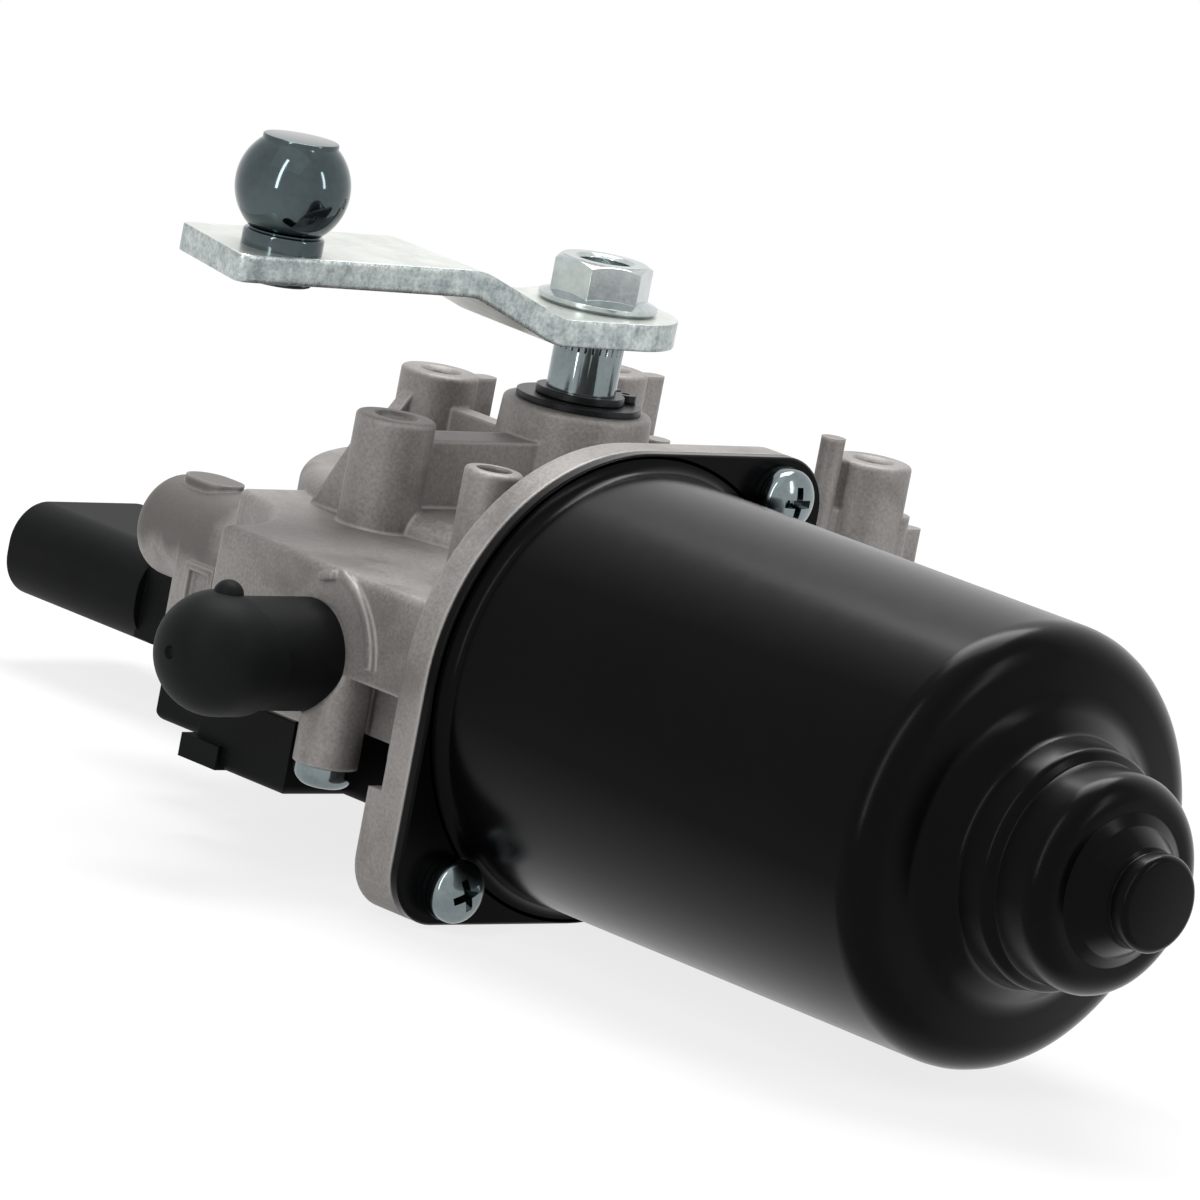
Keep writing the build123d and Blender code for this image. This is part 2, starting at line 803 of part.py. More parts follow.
# Screws and lock washers of the can
screw_seat_x = can_flange_front_x + lock_washer_thickness
with BuildPart() as can_screws:
    with BuildSketch(motor_section.offset(flange_back_x)):
        with screw_places():
            Circle(can_screw_radius)
    extrude(amount=screw_seat_x - flange_back_x)
    with BuildSketch(motor_section.offset(screw_seat_x)):
        with screw_places():
            Circle(can_screw_head_radius)
    extrude(amount=can_screw_head_height)
    rims = can_screws.faces().filter_by(Axis.X).group_by(Axis.X)[-1].edges()
    fillet(rims, can_screw_head_edge)
    with BuildSketch(motor_section.offset(screw_seat_x + can_screw_head_height)):
        with screw_places():
            Rectangle(cross_length, cross_width)
            Rectangle(cross_width, cross_length)
    extrude(amount=-cross_depth, mode=Mode.SUBTRACT)
save(can_screws.part, "can_screws")

with BuildPart() as lock_washers:
    with BuildSketch(motor_section.offset(can_flange_front_x)):
        with screw_places():
            Circle(lock_washer_radius)
            Circle(can_screw_radius + free_fit, mode=Mode.SUBTRACT)
            with Locations((0, lock_washer_radius)):
                Rectangle(lock_washer_slit, 2 * lock_washer_radius, mode=Mode.SUBTRACT)
    extrude(amount=lock_washer_thickness)
save(lock_washers.part, "lock_washers")

# Crank arm, bent up from the hub to the ball
bend_run = crank_bend_end - crank_bend_start
bend_angle = math.atan(crank_lift / bend_run)
bend_shift = crank_thickness * math.tan(bend_angle / 2)
with BuildPart() as crank_arm:
    with BuildSketch(crank_side):
        with BuildLine():
            lower = FilletPolyline(
                (-2 * crank_hub_radius, crank_bottom_z),
                (crank_bend_start, crank_bottom_z),
                (crank_bend_end, crank_bottom_z + crank_lift),
                (2 * crank_ball_reach, crank_bottom_z + crank_lift),
                radius=(crank_bend_radius + crank_thickness, crank_bend_radius),
            )
            upper = FilletPolyline(
                (-2 * crank_hub_radius, crank_top_z),
                (crank_bend_start - bend_shift, crank_top_z),
                (crank_bend_end - bend_shift, crank_pad_z),
                (2 * crank_ball_reach, crank_pad_z),
                radius=(crank_bend_radius, crank_bend_radius + crank_thickness),
            )
            Line(lower @ 0, upper @ 0)
            Line(lower @ 1, upper @ 1)
        make_face()
    extrude(amount=2 * crank_hub_radius, both=True)
    with BuildSketch(crank_plan) as arm_outline:
        Circle(crank_hub_radius)
        with BuildLine():
            Polyline(
                (0, crank_hub_radius),
                (crank_tip_reach, crank_hub_radius),
                (crank_tip_reach - crank_tip_skew, crank_hub_radius - crank_width),
                (0, crank_hub_radius - crank_width),
                close=True,
            )
        make_face()
        tip_far = near(arm_outline, crank_tip_reach - crank_tip_skew, crank_hub_radius - crank_width)
        fillet([near(arm_outline, crank_tip_reach, crank_hub_radius), tip_far], crank_tip_corner)
    extrude(amount=crank_pad_z + crank_thickness, mode=Mode.INTERSECT)
    with BuildSketch(Plane.XY):
        Circle(spigot_radius + seat_gap)
        with Locations(ball_point):
            Circle(ball_rivet_radius + seat_gap)
    extrude(amount=crank_pad_z + crank_thickness, mode=Mode.SUBTRACT)
save(crank_arm.part, "crank_arm")

# Ball stud, riveted through the tip of the crank
with BuildPart() as ball_stud:
    with BuildSketch(ball_profile):
        with BuildLine():
            start = math.degrees(math.asin(ball_flat_radius / ball_radius))
            neck = math.degrees(math.asin(ball_neck_radius / ball_radius))
            ball_middle = (0, crank_pad_z + ball_height)
            ball_arc = CenterArc(ball_middle, ball_radius, 90 - start, start + neck - 180)
            Polyline(
                ball_arc @ 0,
                (ball_flat_radius, crank_pad_z + ball_top_height),
                (0, crank_pad_z + ball_top_height),
                (0, crank_pad_z - crank_thickness - ball_rivet_head_height),
                (ball_rivet_head_radius, crank_pad_z - crank_thickness - ball_rivet_head_height),
                (ball_rivet_head_radius, crank_pad_z - crank_thickness),
                (ball_rivet_radius, crank_pad_z - crank_thickness),
                (ball_rivet_radius, crank_pad_z),
                (ball_collar_radius, crank_pad_z),
                (ball_collar_radius, crank_pad_z + ball_collar_height),
                (ball_neck_radius, crank_pad_z + ball_collar_height),
            )
            Line((ball_neck_radius, crank_pad_z + ball_collar_height), ball_arc @ 1)
        make_face()
    revolve(axis=Axis(ball_point, (0, 0, 1)))
save(ball_stud.part, "ball_stud")

# Flange nut on the threaded end of the shaft
with BuildPart() as crank_nut:
    with BuildSketch(Plane.XY.offset(crank_top_z)):
        RegularPolygon(nut_across_flats / 2, 6, major_radius=False, rotation=nut_turn)
    extrude(amount=nut_top_z - crank_top_z)
    with BuildSketch(output_profile):
        with BuildLine():
            Polyline(
                (0, crank_top_z),
                (nut_across_flats, crank_top_z),
                (nut_across_flats, nut_top_z - nut_across_flats / 2 * math.tan(math.radians(30))),
                (nut_across_flats / 2 - end_float, nut_top_z),
                (0, nut_top_z),
                close=True,
            )
        make_face()
    revolve(axis=Axis.Z, mode=Mode.INTERSECT)
    with BuildSketch(output_profile):
        with BuildLine():
            Polyline(
                (0, crank_top_z),
                (nut_flange_radius - nut_chamfer, crank_top_z),
                (nut_flange_radius, crank_top_z + nut_chamfer),
                (nut_flange_radius, crank_top_z + nut_flange_height - nut_chamfer),
                (nut_across_flats / 2 - nut_chamfer, crank_top_z + nut_flange_height + nut_chamfer),
                (0, crank_top_z + nut_flange_height + nut_chamfer),
                close=True,
            )
        make_face()
    revolve(axis=Axis.Z)
    with Locations((0, 0, nut_top_z)):
        Hole(stud_radius + seat_gap, depth=nut_top_z)
    nut_face = crank_nut.faces().filter_by(Axis.Z).sort_by(Axis.Z)[-1]
    mouth = nut_face.edges().filter_by(GeomType.CIRCLE).sort_by(SortBy.RADIUS)[0]
    chamfer(mouth, nut_chamfer)
save(crank_nut.part, "crank_nut")

# Output shaft: running length, ring groove, serrated shoulder, spigot and stud
ring_bottom_z = washer_thickness + 2 * seat_gap
groove_bottom_z = ring_bottom_z - seat_gap
groove_top_z = ring_bottom_z + ring_thickness + seat_gap
ring_neck_middle = (ring_ear_reach + shaft_radius - ring_ear_radius) / 2
with BuildPart() as output_shaft:
    with BuildSketch(output_profile):
        with BuildLine():
            Polyline(
                (0, shaft_bottom_z),
                (shaft_radius - end_chamfer, shaft_bottom_z),
                (shaft_radius, shaft_bottom_z + end_chamfer),
                (shaft_radius, groove_bottom_z),
                (shaft_radius - ring_groove_depth, groove_bottom_z),
                (shaft_radius - ring_groove_depth, groove_top_z),
                (shaft_radius, groove_top_z),
                (shaft_radius, crank_bottom_z),
                (spigot_radius, crank_bottom_z),
                (spigot_radius, crank_top_z - end_float),
                (stud_radius, crank_top_z - end_float),
                (stud_radius, stud_top_z - stud_chamfer),
                (stud_radius - stud_chamfer, stud_top_z),
                (0, stud_top_z),
                close=True,
            )
        make_face()
    revolve(axis=Axis.Z)
    with BuildSketch(Plane.XY.offset(crank_bottom_z)):
        with PolarLocations(shaft_radius, serration_count):
            RegularPolygon(serration_depth, 3, rotation=180)
    extrude(amount=-serration_height, mode=Mode.SUBTRACT)
save(output_shaft.part, "output_shaft")

# Retaining ring with two ears, and the thrust washer under it
with BuildPart() as retaining_ring:
    with BuildSketch(Plane.XY.offset(ring_bottom_z)):
        Circle(ring_radius)
        for side in (-1, 1):
            ear_angle = 90 + side * ring_ear_spread
            with PolarLocations(ring_ear_reach - ring_ear_radius, 1, start_angle=ear_angle):
                Circle(ring_ear_radius)
            with PolarLocations(ring_neck_middle, 1, start_angle=ear_angle):
                Rectangle(ring_ear_reach - shaft_radius - ring_ear_radius, ring_neck_width)
        Circle(shaft_radius - ring_groove_depth + 2 * seat_gap, mode=Mode.SUBTRACT)
        with Locations((0, ring_radius)):
            Rectangle(ring_slit, 2 * ring_radius, mode=Mode.SUBTRACT)
        with PolarLocations(ring_ear_reach - ring_ear_radius, 1, start_angle=90 - ring_ear_spread):
            Circle(ring_ear_hole, mode=Mode.SUBTRACT)
        with PolarLocations(ring_ear_reach - ring_ear_radius, 1, start_angle=90 + ring_ear_spread):
            Circle(ring_ear_hole, mode=Mode.SUBTRACT)
    extrude(amount=ring_thickness)
save(retaining_ring.part, "retaining_ring")

with BuildPart() as thrust_washer:
    with BuildSketch(Plane.XY):
        Circle(washer_radius)
        Circle(shaft_radius + free_fit, mode=Mode.SUBTRACT)
    extrude(amount=washer_thickness)
save(thrust_washer.part, "thrust_washer")

# Bushes and seal of the output shaft
bush_top_z = -seal_depth - free_fit
case_ceiling_z = case_top_z - case_wall
with BuildPart() as output_bush:
    with BuildSketch(Plane.XY.offset(bush_top_z)):
        Circle(bush_radius - seat_gap)
        Circle(shaft_radius + running_fit, mode=Mode.SUBTRACT)
    extrude(amount=case_ceiling_z - bush_top_z)
save(output_bush.part, "output_bush")

with BuildPart() as shaft_seal:
    with BuildSketch(output_profile):
        with BuildLine():
            Polyline(
                (bush_radius - seat_gap, -seat_gap),
                (bush_radius - seat_gap, bush_top_z),
                (shaft_radius + seal_lip_height, bush_top_z),
                (shaft_radius + 2 * running_fit, bush_top_z + seal_lip_height),
                (shaft_radius + seal_lip_height, -seat_gap),
                close=True,
            )
        make_face()
    revolve(axis=Axis.Z)
save(shaft_seal.part, "shaft_seal")


def involute(angle):
    return math.tan(angle) - angle


def tooth_half_angle(radius):
    """Half the wheel tooth's width at a radius, as an angle in radians."""
    pitch_half = (axial_pitch - tooth_backlash) / 4 / wheel_pitch_radius
    alpha = math.radians(pressure_angle)
    at_radius = math.acos(wheel_pitch_radius * math.cos(alpha) / radius)
    return pitch_half + involute(alpha) - involute(at_radius)


def wheel_outline(turn):
    """Toothed outline of the worm wheel, with a tooth space facing the worm."""
    radii = (wheel_pitch_radius - dedendum, wheel_pitch_radius, wheel_pitch_radius + addendum)
    points = []
    for tooth in range(wheel_teeth):
        centre = 2 * math.pi * (tooth + 0.5) / wheel_teeth - math.pi / 2 + turn
        flank = [(r, centre - tooth_half_angle(r)) for r in radii]
        flank += [(r, centre + tooth_half_angle(r)) for r in reversed(radii)]
        points += [(r * math.cos(a), r * math.sin(a)) for r, a in flank]
    return points


# Worm wheel, moulded on the output shaft
wheel_bottom_z = worm_axis_z - wheel_face_width / 2
wheel_top_z = worm_axis_z + wheel_face_width / 2
wheel_twist = wheel_face_width / 2 * math.tan(math.radians(lead_angle)) / wheel_pitch_radius
with BuildPart() as worm_wheel:
    for z, turn in ((wheel_bottom_z, -wheel_twist), (wheel_top_z, wheel_twist)):
        with BuildSketch(Plane.XY.offset(z)):
            with BuildLine():
                Polyline(*wheel_outline(turn), close=True)
            make_face()
    loft(ruled=True)
    with BuildSketch(Plane.XY.offset(wheel_top_z)):
        Circle(wheel_rim_radius)
        Circle(wheel_hub_radius, mode=Mode.SUBTRACT)
    extrude(amount=-wheel_web_depth, mode=Mode.SUBTRACT)
    with BuildSketch(Plane.XY.offset(wheel_top_z - wheel_web_depth)):
        with PolarLocations((wheel_rim_radius + wheel_hub_radius) / 2, wheel_rib_count):
            Rectangle(wheel_rim_radius - wheel_hub_radius + 2 * join, wheel_rib_width)
    extrude(amount=wheel_web_depth - join)
    with BuildSketch(Plane.XY.offset(wheel_top_z)):
        Circle(wheel_hub_radius)
    extrude(amount=case_ceiling_z - end_float - wheel_washer_thickness - wheel_top_z)
    with BuildSketch(Plane.XY.offset(wheel_bottom_z)):
        Circle(wheel_hub_radius)
    extrude(amount=-wheel_hub_drop)
    with Locations((0, 0, 0)):
        Hole(shaft_radius + seat_gap, depth=-case_bottom_z)
save(worm_wheel.part, "worm_wheel")

with BuildPart() as wheel_washer:
    with BuildSketch(Plane.XY.offset(case_ceiling_z - end_float - wheel_washer_thickness)):
        Circle(wheel_hub_radius - 0.5)
        Circle(shaft_radius + free_fit, mode=Mode.SUBTRACT)
    extrude(amount=wheel_washer_thickness)
save(wheel_washer.part, "wheel_washer")

# Contact disc that parks the crank, under the wheel
with BuildPart() as contact_disc:
    with BuildSketch(Plane.XY.offset(wheel_bottom_z)):
        Circle(disc_radius)
        Circle(wheel_hub_radius + end_float, mode=Mode.SUBTRACT)
        with PolarLocations(disc_radius - 2, 1, start_angle=disc_gap_angle):
            Rectangle(disc_gap_length, disc_gap_width, mode=Mode.SUBTRACT)
    extrude(amount=-disc_thickness)
save(contact_disc.part, "contact_disc")

# Armature shaft with its single-start worm
thread_left_x = -worm_turns / 2 * axial_pitch
thread_start = Vector(thread_left_x + axial_pitch / 4, worm_y, worm_axis_z)
thread_plane = Plane(origin=thread_start, x_dir=(0, 0, 1), z_dir=(0, 1, 0))
thread_slope = math.tan(math.radians(pressure_angle))
thread_half = (axial_pitch - tooth_backlash) / 4
thread_foot = thread_half + (worm_pitch_radius - worm_root_radius + free_fit) * thread_slope
thread_tip = thread_half - addendum * thread_slope
with BuildPart() as worm_shaft:
    with BuildLine() as thread_path:
        Helix(
            axial_pitch,
            worm_turns * axial_pitch,
            worm_pitch_radius,
            center=thread_start,
            direction=(1, 0, 0),
        )
    with BuildSketch(thread_plane):
        with BuildLine():
            Polyline(
                (worm_root_radius - free_fit, -thread_foot),
                (worm_tip_radius, -thread_tip),
                (worm_tip_radius, thread_tip),
                (worm_root_radius - free_fit, thread_foot),
                close=True,
            )
        make_face()
    sweep(path=thread_path.wires()[0], is_frenet=True)
    with BuildSketch(motor_profile):
        with BuildLine():
            Polyline(
                (worm_shaft_left_x, 0),
                (worm_shaft_left_x, worm_shaft_radius - end_chamfer),
                (worm_shaft_left_x + end_chamfer, worm_shaft_radius),
                (thread_left_x - 2 * end_chamfer - thread_runout, worm_shaft_radius),
                (thread_left_x - thread_runout, worm_root_radius),
                (thread_runout - thread_left_x, worm_root_radius),
                (thread_runout + 2 * end_chamfer - thread_left_x, worm_shaft_radius),
                (rotor_shaft_right_x, worm_shaft_radius),
                (rotor_shaft_right_x, 0),
                close=True,
            )
        make_face()
    revolve(axis=worm_axis)
save(worm_shaft.part, "worm_shaft")

# Bush and thrust pad at the free end of the worm
pad_right_x = worm_shaft_left_x - end_float
with BuildPart() as worm_end_bush:
    with BuildSketch(motor_section.offset(worm_shaft_left_x + 1)):
        Circle(tunnel_end_radius - seat_gap)
        Circle(worm_shaft_radius + running_fit, mode=Mode.SUBTRACT)
    extrude(amount=end_bush_length)
save(worm_end_bush.part, "worm_end_bush")

with BuildPart() as thrust_pad:
    with BuildSketch(motor_section.offset(pad_right_x - thrust_pad_thickness)):
        Circle(tunnel_end_radius - seat_gap)
    extrude(amount=thrust_pad_thickness)
    fillet(thrust_pad.faces().sort_by(Axis.X)[-1].edges(), thrust_pad_edge)
save(thrust_pad.part, "thrust_pad")

# Flanged bush between the worm and the motor
with BuildPart() as front_bush:
    with BuildSketch(motor_section.offset(mouth_floor_x - bearing_length)):
        Circle(bearing_radius - seat_gap)
    extrude(amount=bearing_length)
    with BuildSketch(motor_section.offset(mouth_floor_x)):
        Circle(bearing_flange_radius)
    extrude(amount=bearing_flange_thickness)
    with BuildSketch(motor_section.offset(mouth_floor_x - bearing_length)):
        Circle(worm_shaft_radius + running_fit)
    extrude(amount=bearing_length + bearing_flange_thickness, mode=Mode.SUBTRACT)
save(front_bush.part, "front_bush")


def slot_outline(gap):
    """Winding slot of the armature core, drawn in by a gap, along +X of the sketch."""
    with BuildSketch() as outline:
        with BuildLine():
            Polyline(
                (slot_foot_radius + gap, slot_foot_width / 2 - gap),
                (slot_head_radius - gap, slot_head_width / 2 - gap),
                (slot_head_radius - gap, gap - slot_head_width / 2),
                (slot_foot_radius + gap, gap - slot_foot_width / 2),
                close=True,
            )
        make_face()
    return outline.sketch


# Armature core with its winding slots
with BuildPart() as armature_core:
    with BuildSketch(motor_section.offset(core_left_x)):
        Circle(core_radius)
        Circle(worm_shaft_radius + seat_gap, mode=Mode.SUBTRACT)
        with PolarLocations(0, slot_count):
            add(slot_outline(0), mode=Mode.SUBTRACT)
        with PolarLocations(core_radius, slot_count):
            Rectangle(2 * (slot_head_inset + join), slot_width, mode=Mode.SUBTRACT)
    extrude(amount=core_length)
save(armature_core.part, "armature_core")

# Windings: the fill of every slot and the two end turns
with BuildPart() as armature_windings:
    with BuildSketch(motor_section.offset(core_left_x - 1)):
        with PolarLocations(0, slot_count):
            add(slot_outline(slot_fill_gap))
    extrude(amount=core_length + 2)
    with BuildSketch(motor_profile) as end_turns:
        for x in (core_left_x - winding_length, core_left_x + core_length + seat_gap):
            with Locations((x, winding_inner_radius)):
                Rectangle(
                    winding_length - seat_gap,
                    winding_radius - winding_inner_radius,
                    align=(Align.MIN, Align.MIN),
                )
        chamfer(end_turns.vertices(), winding_corner)
    revolve(axis=worm_axis)
save(armature_windings.part, "armature_windings")

# Commutator
riser_left_x = commutator_left_x + commutator_length - riser_length
with BuildPart() as commutator:
    with BuildSketch(motor_section.offset(commutator_left_x)):
        Circle(commutator_radius)
    extrude(amount=commutator_length)
    with BuildSketch(motor_section.offset(riser_left_x)):
        Circle(riser_radius)
    extrude(amount=riser_length)
    with BuildSketch(motor_section.offset(commutator_left_x)):
        with PolarLocations(riser_radius, slot_count):
            Rectangle(2 * (riser_radius - commutator_radius + join), commutator_slot)
        Circle(worm_shaft_radius + seat_gap)
    extrude(amount=commutator_length, mode=Mode.SUBTRACT)
save(commutator.part, "commutator")

# Field magnets and the springs between them
magnet_outer_radius = can_inner_radius - seat_gap
magnet_gap = 180 - magnet_arc
with BuildPart() as field_magnets:
    with BuildSketch(motor_section.offset(magnet_left_x)):
        with BuildLine():
            outer = CenterArc((0, 0), magnet_outer_radius, -magnet_arc / 2, magnet_arc)
            inner = CenterArc((0, 0), magnet_outer_radius - magnet_thickness, -magnet_arc / 2, magnet_arc)
            Line(outer @ 0, inner @ 0)
            Line(outer @ 1, inner @ 1)
        make_face()
        mirror(about=Plane.YZ)
    extrude(amount=magnet_length)
save(field_magnets.part, "field_magnets")

clip_half = magnet_gap / 2 - math.degrees(running_fit / magnet_outer_radius)
clip_inner_radius = magnet_outer_radius - magnet_clip_thickness
with BuildPart() as magnet_clips:
    with BuildSketch(motor_section.offset(magnet_left_x + magnet_clip_inset)):
        with BuildLine():
            back = CenterArc((0, 0), magnet_outer_radius, 90 - clip_half, 2 * clip_half)
            face = CenterArc((0, 0), clip_inner_radius, 90 - clip_half, 2 * clip_half)
            Line(back @ 0, face @ 0)
            Line(back @ 1, face @ 1)
        make_face()
        for side in (-1, 1):
            leg_reach = magnet_outer_radius - (magnet_clip_leg + magnet_clip_thickness) / 2
            with PolarLocations(leg_reach, 1, start_angle=90 + side * clip_half):
                with Locations((0, -side * magnet_clip_thickness / 2)):
                    Rectangle(magnet_clip_leg, magnet_clip_thickness)
        mirror(about=Plane.XZ)
    extrude(amount=magnet_length - 2 * magnet_clip_inset)
save(magnet_clips.part, "magnet_clips")

# Rear bush, the holder in the pocket of the can and its spring plate
rear_centre_x = rear_bush_left_x + rear_bush_length / 2
with BuildPart() as rear_bush:
    with Locations((rear_centre_x, worm_y, worm_axis_z)):
        Sphere(rear_bush_radius)
    with BuildSketch(motor_section.offset(rear_bush_left_x)):
        Circle(rear_bush_radius)
    extrude(amount=rear_bush_length, mode=Mode.INTERSECT)
    with BuildSketch(motor_section.offset(rear_bush_left_x)):
        Circle(worm_shaft_radius + running_fit)
    extrude(amount=rear_bush_length, mode=Mode.SUBTRACT)
save(rear_bush.part, "rear_bush")

pocket_inner_radius = pocket_radius - can_wall
seat_sphere_radius = rear_bush_radius + seat_gap
holder_left_x = rear_centre_x - holder_seat_length
holder_right_x = holder_left_x + holder_length
with BuildPart() as rear_holder:
    with BuildSketch(motor_profile):
        with BuildLine():
            low = math.degrees(math.asin(holder_bore_radius / seat_sphere_radius))
            high = math.degrees(math.acos((holder_left_x - rear_centre_x) / seat_sphere_radius))
            seat = CenterArc((rear_centre_x, 0), seat_sphere_radius, low, high - low)
            Polyline(
                seat @ 1,
                (holder_left_x, pocket_inner_radius - seat_gap),
                (holder_right_x, pocket_inner_radius - seat_gap),
                (holder_right_x, holder_bore_radius),
                seat @ 0,
            )
        make_face()
    revolve(axis=worm_axis)
save(rear_holder.part, "rear_holder")

with BuildPart() as rear_spring_plate:
    with BuildSketch(motor_section.offset(holder_left_x - spring_plate_thickness)):
        Circle(pocket_inner_radius - seat_gap)
        Circle(rear_bush_radius - seat_gap, mode=Mode.SUBTRACT)
        with PolarLocations(rear_bush_radius, spring_plate_slots):
            Rectangle(spring_plate_slot_length, spring_plate_slot_width, mode=Mode.SUBTRACT)
    extrude(amount=spring_plate_thickness)
save(rear_spring_plate.part, "rear_spring_plate")

with BuildPart() as nose_pad:
    with BuildSketch(motor_section.offset(can_nose_x - can_wall - nose_pad_thickness)):
        Circle(nose_bore_radius - seat_gap)
    extrude(amount=nose_pad_thickness)
save(nose_pad.part, "nose_pad")

# Brush card and brush gear
card_right_x = flange_face_x + brush_card_thickness
holder_plane = motor_section.offset(card_right_x)
brush_section = motor_section.offset(brush_left_x)
holder_outer_width = brush_width + 2 * brush_holder_wall
brush_holder_middle = (brush_holder_inner + brush_holder_outer) / 2
brush_box_right_x = brush_left_x + brush_height + brush_holder_wall
with BuildPart() as brush_card:
    with BuildSketch(motor_section.offset(flange_face_x)):
        Circle(brush_card_radius)
        Circle(brush_card_hole_radius, mode=Mode.SUBTRACT)
        with PolarLocations(brush_card_radius, card_notch_count, start_angle=card_notch_angle):
            Rectangle(card_notch_depth, card_notch_width, mode=Mode.SUBTRACT)
    extrude(amount=brush_card_thickness)
save(brush_card.part, "brush_card")

with BuildPart() as brush_holders:
    with BuildSketch(holder_plane):
        for angle in brush_angles:
            with PolarLocations(brush_holder_middle, 1, start_angle=angle):
                Rectangle(brush_holder_outer - brush_holder_inner, holder_outer_width)
    extrude(amount=brush_box_right_x - card_right_x)
    with BuildSketch(brush_section):
        for angle in brush_angles:
            with PolarLocations(brush_holder_middle - brush_holder_wall, 1, start_angle=angle):
                Rectangle(brush_holder_outer - brush_holder_inner, brush_width + 2 * running_fit)
    extrude(amount=brush_height + running_fit, mode=Mode.SUBTRACT)
save(brush_holders.part, "brush_holders")

brush_back = commutator_radius + running_fit + brush_length
with BuildPart() as brushes:
    with BuildSketch(brush_section):
        for angle in brush_angles:
            with PolarLocations(brush_back - (brush_length + 1) / 2, 1, start_angle=angle):
                Rectangle(brush_length + 1, brush_width)
        Circle(commutator_radius + running_fit, mode=Mode.SUBTRACT)
    extrude(amount=brush_height)
save(brushes.part, "brushes")

coil_length = brush_holder_outer - brush_holder_wall - brush_back - spring_wire - 2 * seat_gap
with BuildPart() as brush_springs:
    for angle in brush_angles:
        turn = math.radians(angle)
        heading = Vector(0, math.cos(turn), math.sin(turn))
        brush_axis = Vector(brush_left_x + brush_height / 2, worm_y, worm_axis_z)
        with BuildLine() as coil:
            Helix(
                coil_length / spring_turns,
                coil_length,
                spring_radius,
                center=brush_axis + heading * (brush_back + spring_wire / 2 + seat_gap),
                direction=heading,
            )
        coil_wire = coil.wires()[0]
        with BuildSketch(Plane(origin=coil_wire @ 0, z_dir=coil_wire % 0)):
            Rectangle(spring_wire, spring_wire)
        sweep(path=coil_wire, is_frenet=True)
save(brush_springs.part, "brush_springs")

with BuildPart() as chokes:
    for angle in choke_angles:
        turn = math.radians(angle)
        outward = Vector(0, math.cos(turn), math.sin(turn))
        middle = Vector(card_right_x + choke_radius, worm_y, worm_axis_z) + outward * choke_reach
        choke_section = Plane(origin=middle, z_dir=(0, -math.sin(turn), math.cos(turn)))
        with BuildSketch(choke_section):
            Circle(choke_radius)
        extrude(amount=choke_length / 2, both=True)
        with BuildSketch(choke_section):
            Circle(choke_core_radius)
        extrude(amount=choke_core_length / 2, both=True)
save(chokes.part, "chokes")

# Cover under the gear case, with its gasket
rim_top_z = case_bottom_z - gasket_thickness
carrier_bottom_z = cover_floor_z + cover_wall
carrier_top_z = carrier_bottom_z + carrier_thickness


def cover_outline(inset):
    """Plan of the cover, drawn in by an inset."""
    with BuildSketch() as outline:
        Circle(cover_radius)
        with BuildLine():
            Polyline(
                (box_left_x, box_back_y),
                (box_left_x, cover_step_y),
                (cover_front_left_x, cover_step_y),
                (cover_front_left_x, cover_front_y),
                (cover_front_right_x, cover_front_y),
                (cover_front_right_x, cover_step_y),
                (cover_right_x, cover_step_y),
                (cover_right_x, box_back_y),
                close=True,
            )
        make_face()
        offset(amount=-inset, kind=Kind.INTERSECTION)
    return outline.sketch


with BuildPart() as gear_cover:
    with BuildSketch(Plane.XY.offset(cover_floor_z)):
        add(cover_outline(0))
    extrude(amount=rim_top_z - cover_floor_z)
    fillet(gear_cover.faces().sort_by(Axis.Z)[0].edges(), cover_edge)
    with BuildSketch(Plane.XY.offset(carrier_bottom_z)):
        add(cover_outline(cover_wall))
    extrude(amount=rim_top_z - carrier_bottom_z, mode=Mode.SUBTRACT)
    # Slot that the connector's tongue and terminals come through
    with BuildSketch(Plane.XY.offset(carrier_bottom_z)):
        with Locations((-cover_radius, connector_y)):
            Rectangle(slot_reach, tongue_width + 2 * seat_gap)
    extrude(amount=slot_height, mode=Mode.SUBTRACT)
    # Latch at the front of the cover
    with BuildSketch(Plane.XY.offset(latch_top_z)):
        with Locations(latch_corner):
            Rectangle(latch_width, latch_length, align=(Align.MIN, Align.MIN))
    extrude(amount=cover_floor_z - latch_top_z)
save(gear_cover.part, "gear_cover")

with BuildPart() as cover_gasket:
    with BuildSketch(Plane.XY.offset(rim_top_z)):
        add(cover_outline(2 * seat_gap))
        add(cover_outline(cover_wall), mode=Mode.SUBTRACT)
    extrude(amount=gasket_thickness)
save(cover_gasket.part, "cover_gasket")

# Carrier plate in the cover, with the fingers that touch the contact disc
with BuildPart() as contact_carrier:
    with BuildSketch(Plane.XY.offset(carrier_bottom_z)):
        Circle(carrier_radius)
        with Locations((carrier_tail_right_x, carrier_tail_front_y)):
            Rectangle(carrier_tail_length, carrier_tail_width, align=(Align.MAX, Align.MIN))
    extrude(amount=carrier_thickness)
save(contact_carrier.part, "contact_carrier")

disc_face_z = wheel_bottom_z - disc_thickness
finger_rise = disc_face_z - running_fit - carrier_top_z
with BuildPart() as park_contacts:
    for number in range(finger_count):
        with BuildSketch(Plane.XZ.offset(-(finger_first_y + number * finger_pitch - finger_width / 2))):
            with BuildLine():
                FilletPolyline(
                    (finger_foot_x, carrier_top_z + finger_thickness / 2),
                    (finger_foot_x + finger_foot_length, carrier_top_z + finger_thickness / 2),
                    (finger_tip_x - finger_tip_half, carrier_top_z + finger_rise - finger_tip_drop),
                    (finger_tip_x, carrier_top_z + finger_rise - finger_thickness),
                    (finger_tip_x + finger_tip_half, carrier_top_z + finger_rise - finger_tip_drop),
                    radius=finger_bend_radius,
                )
            trace(line_width=finger_thickness)
        extrude(amount=-finger_width)
save(park_contacts.part, "park_contacts")

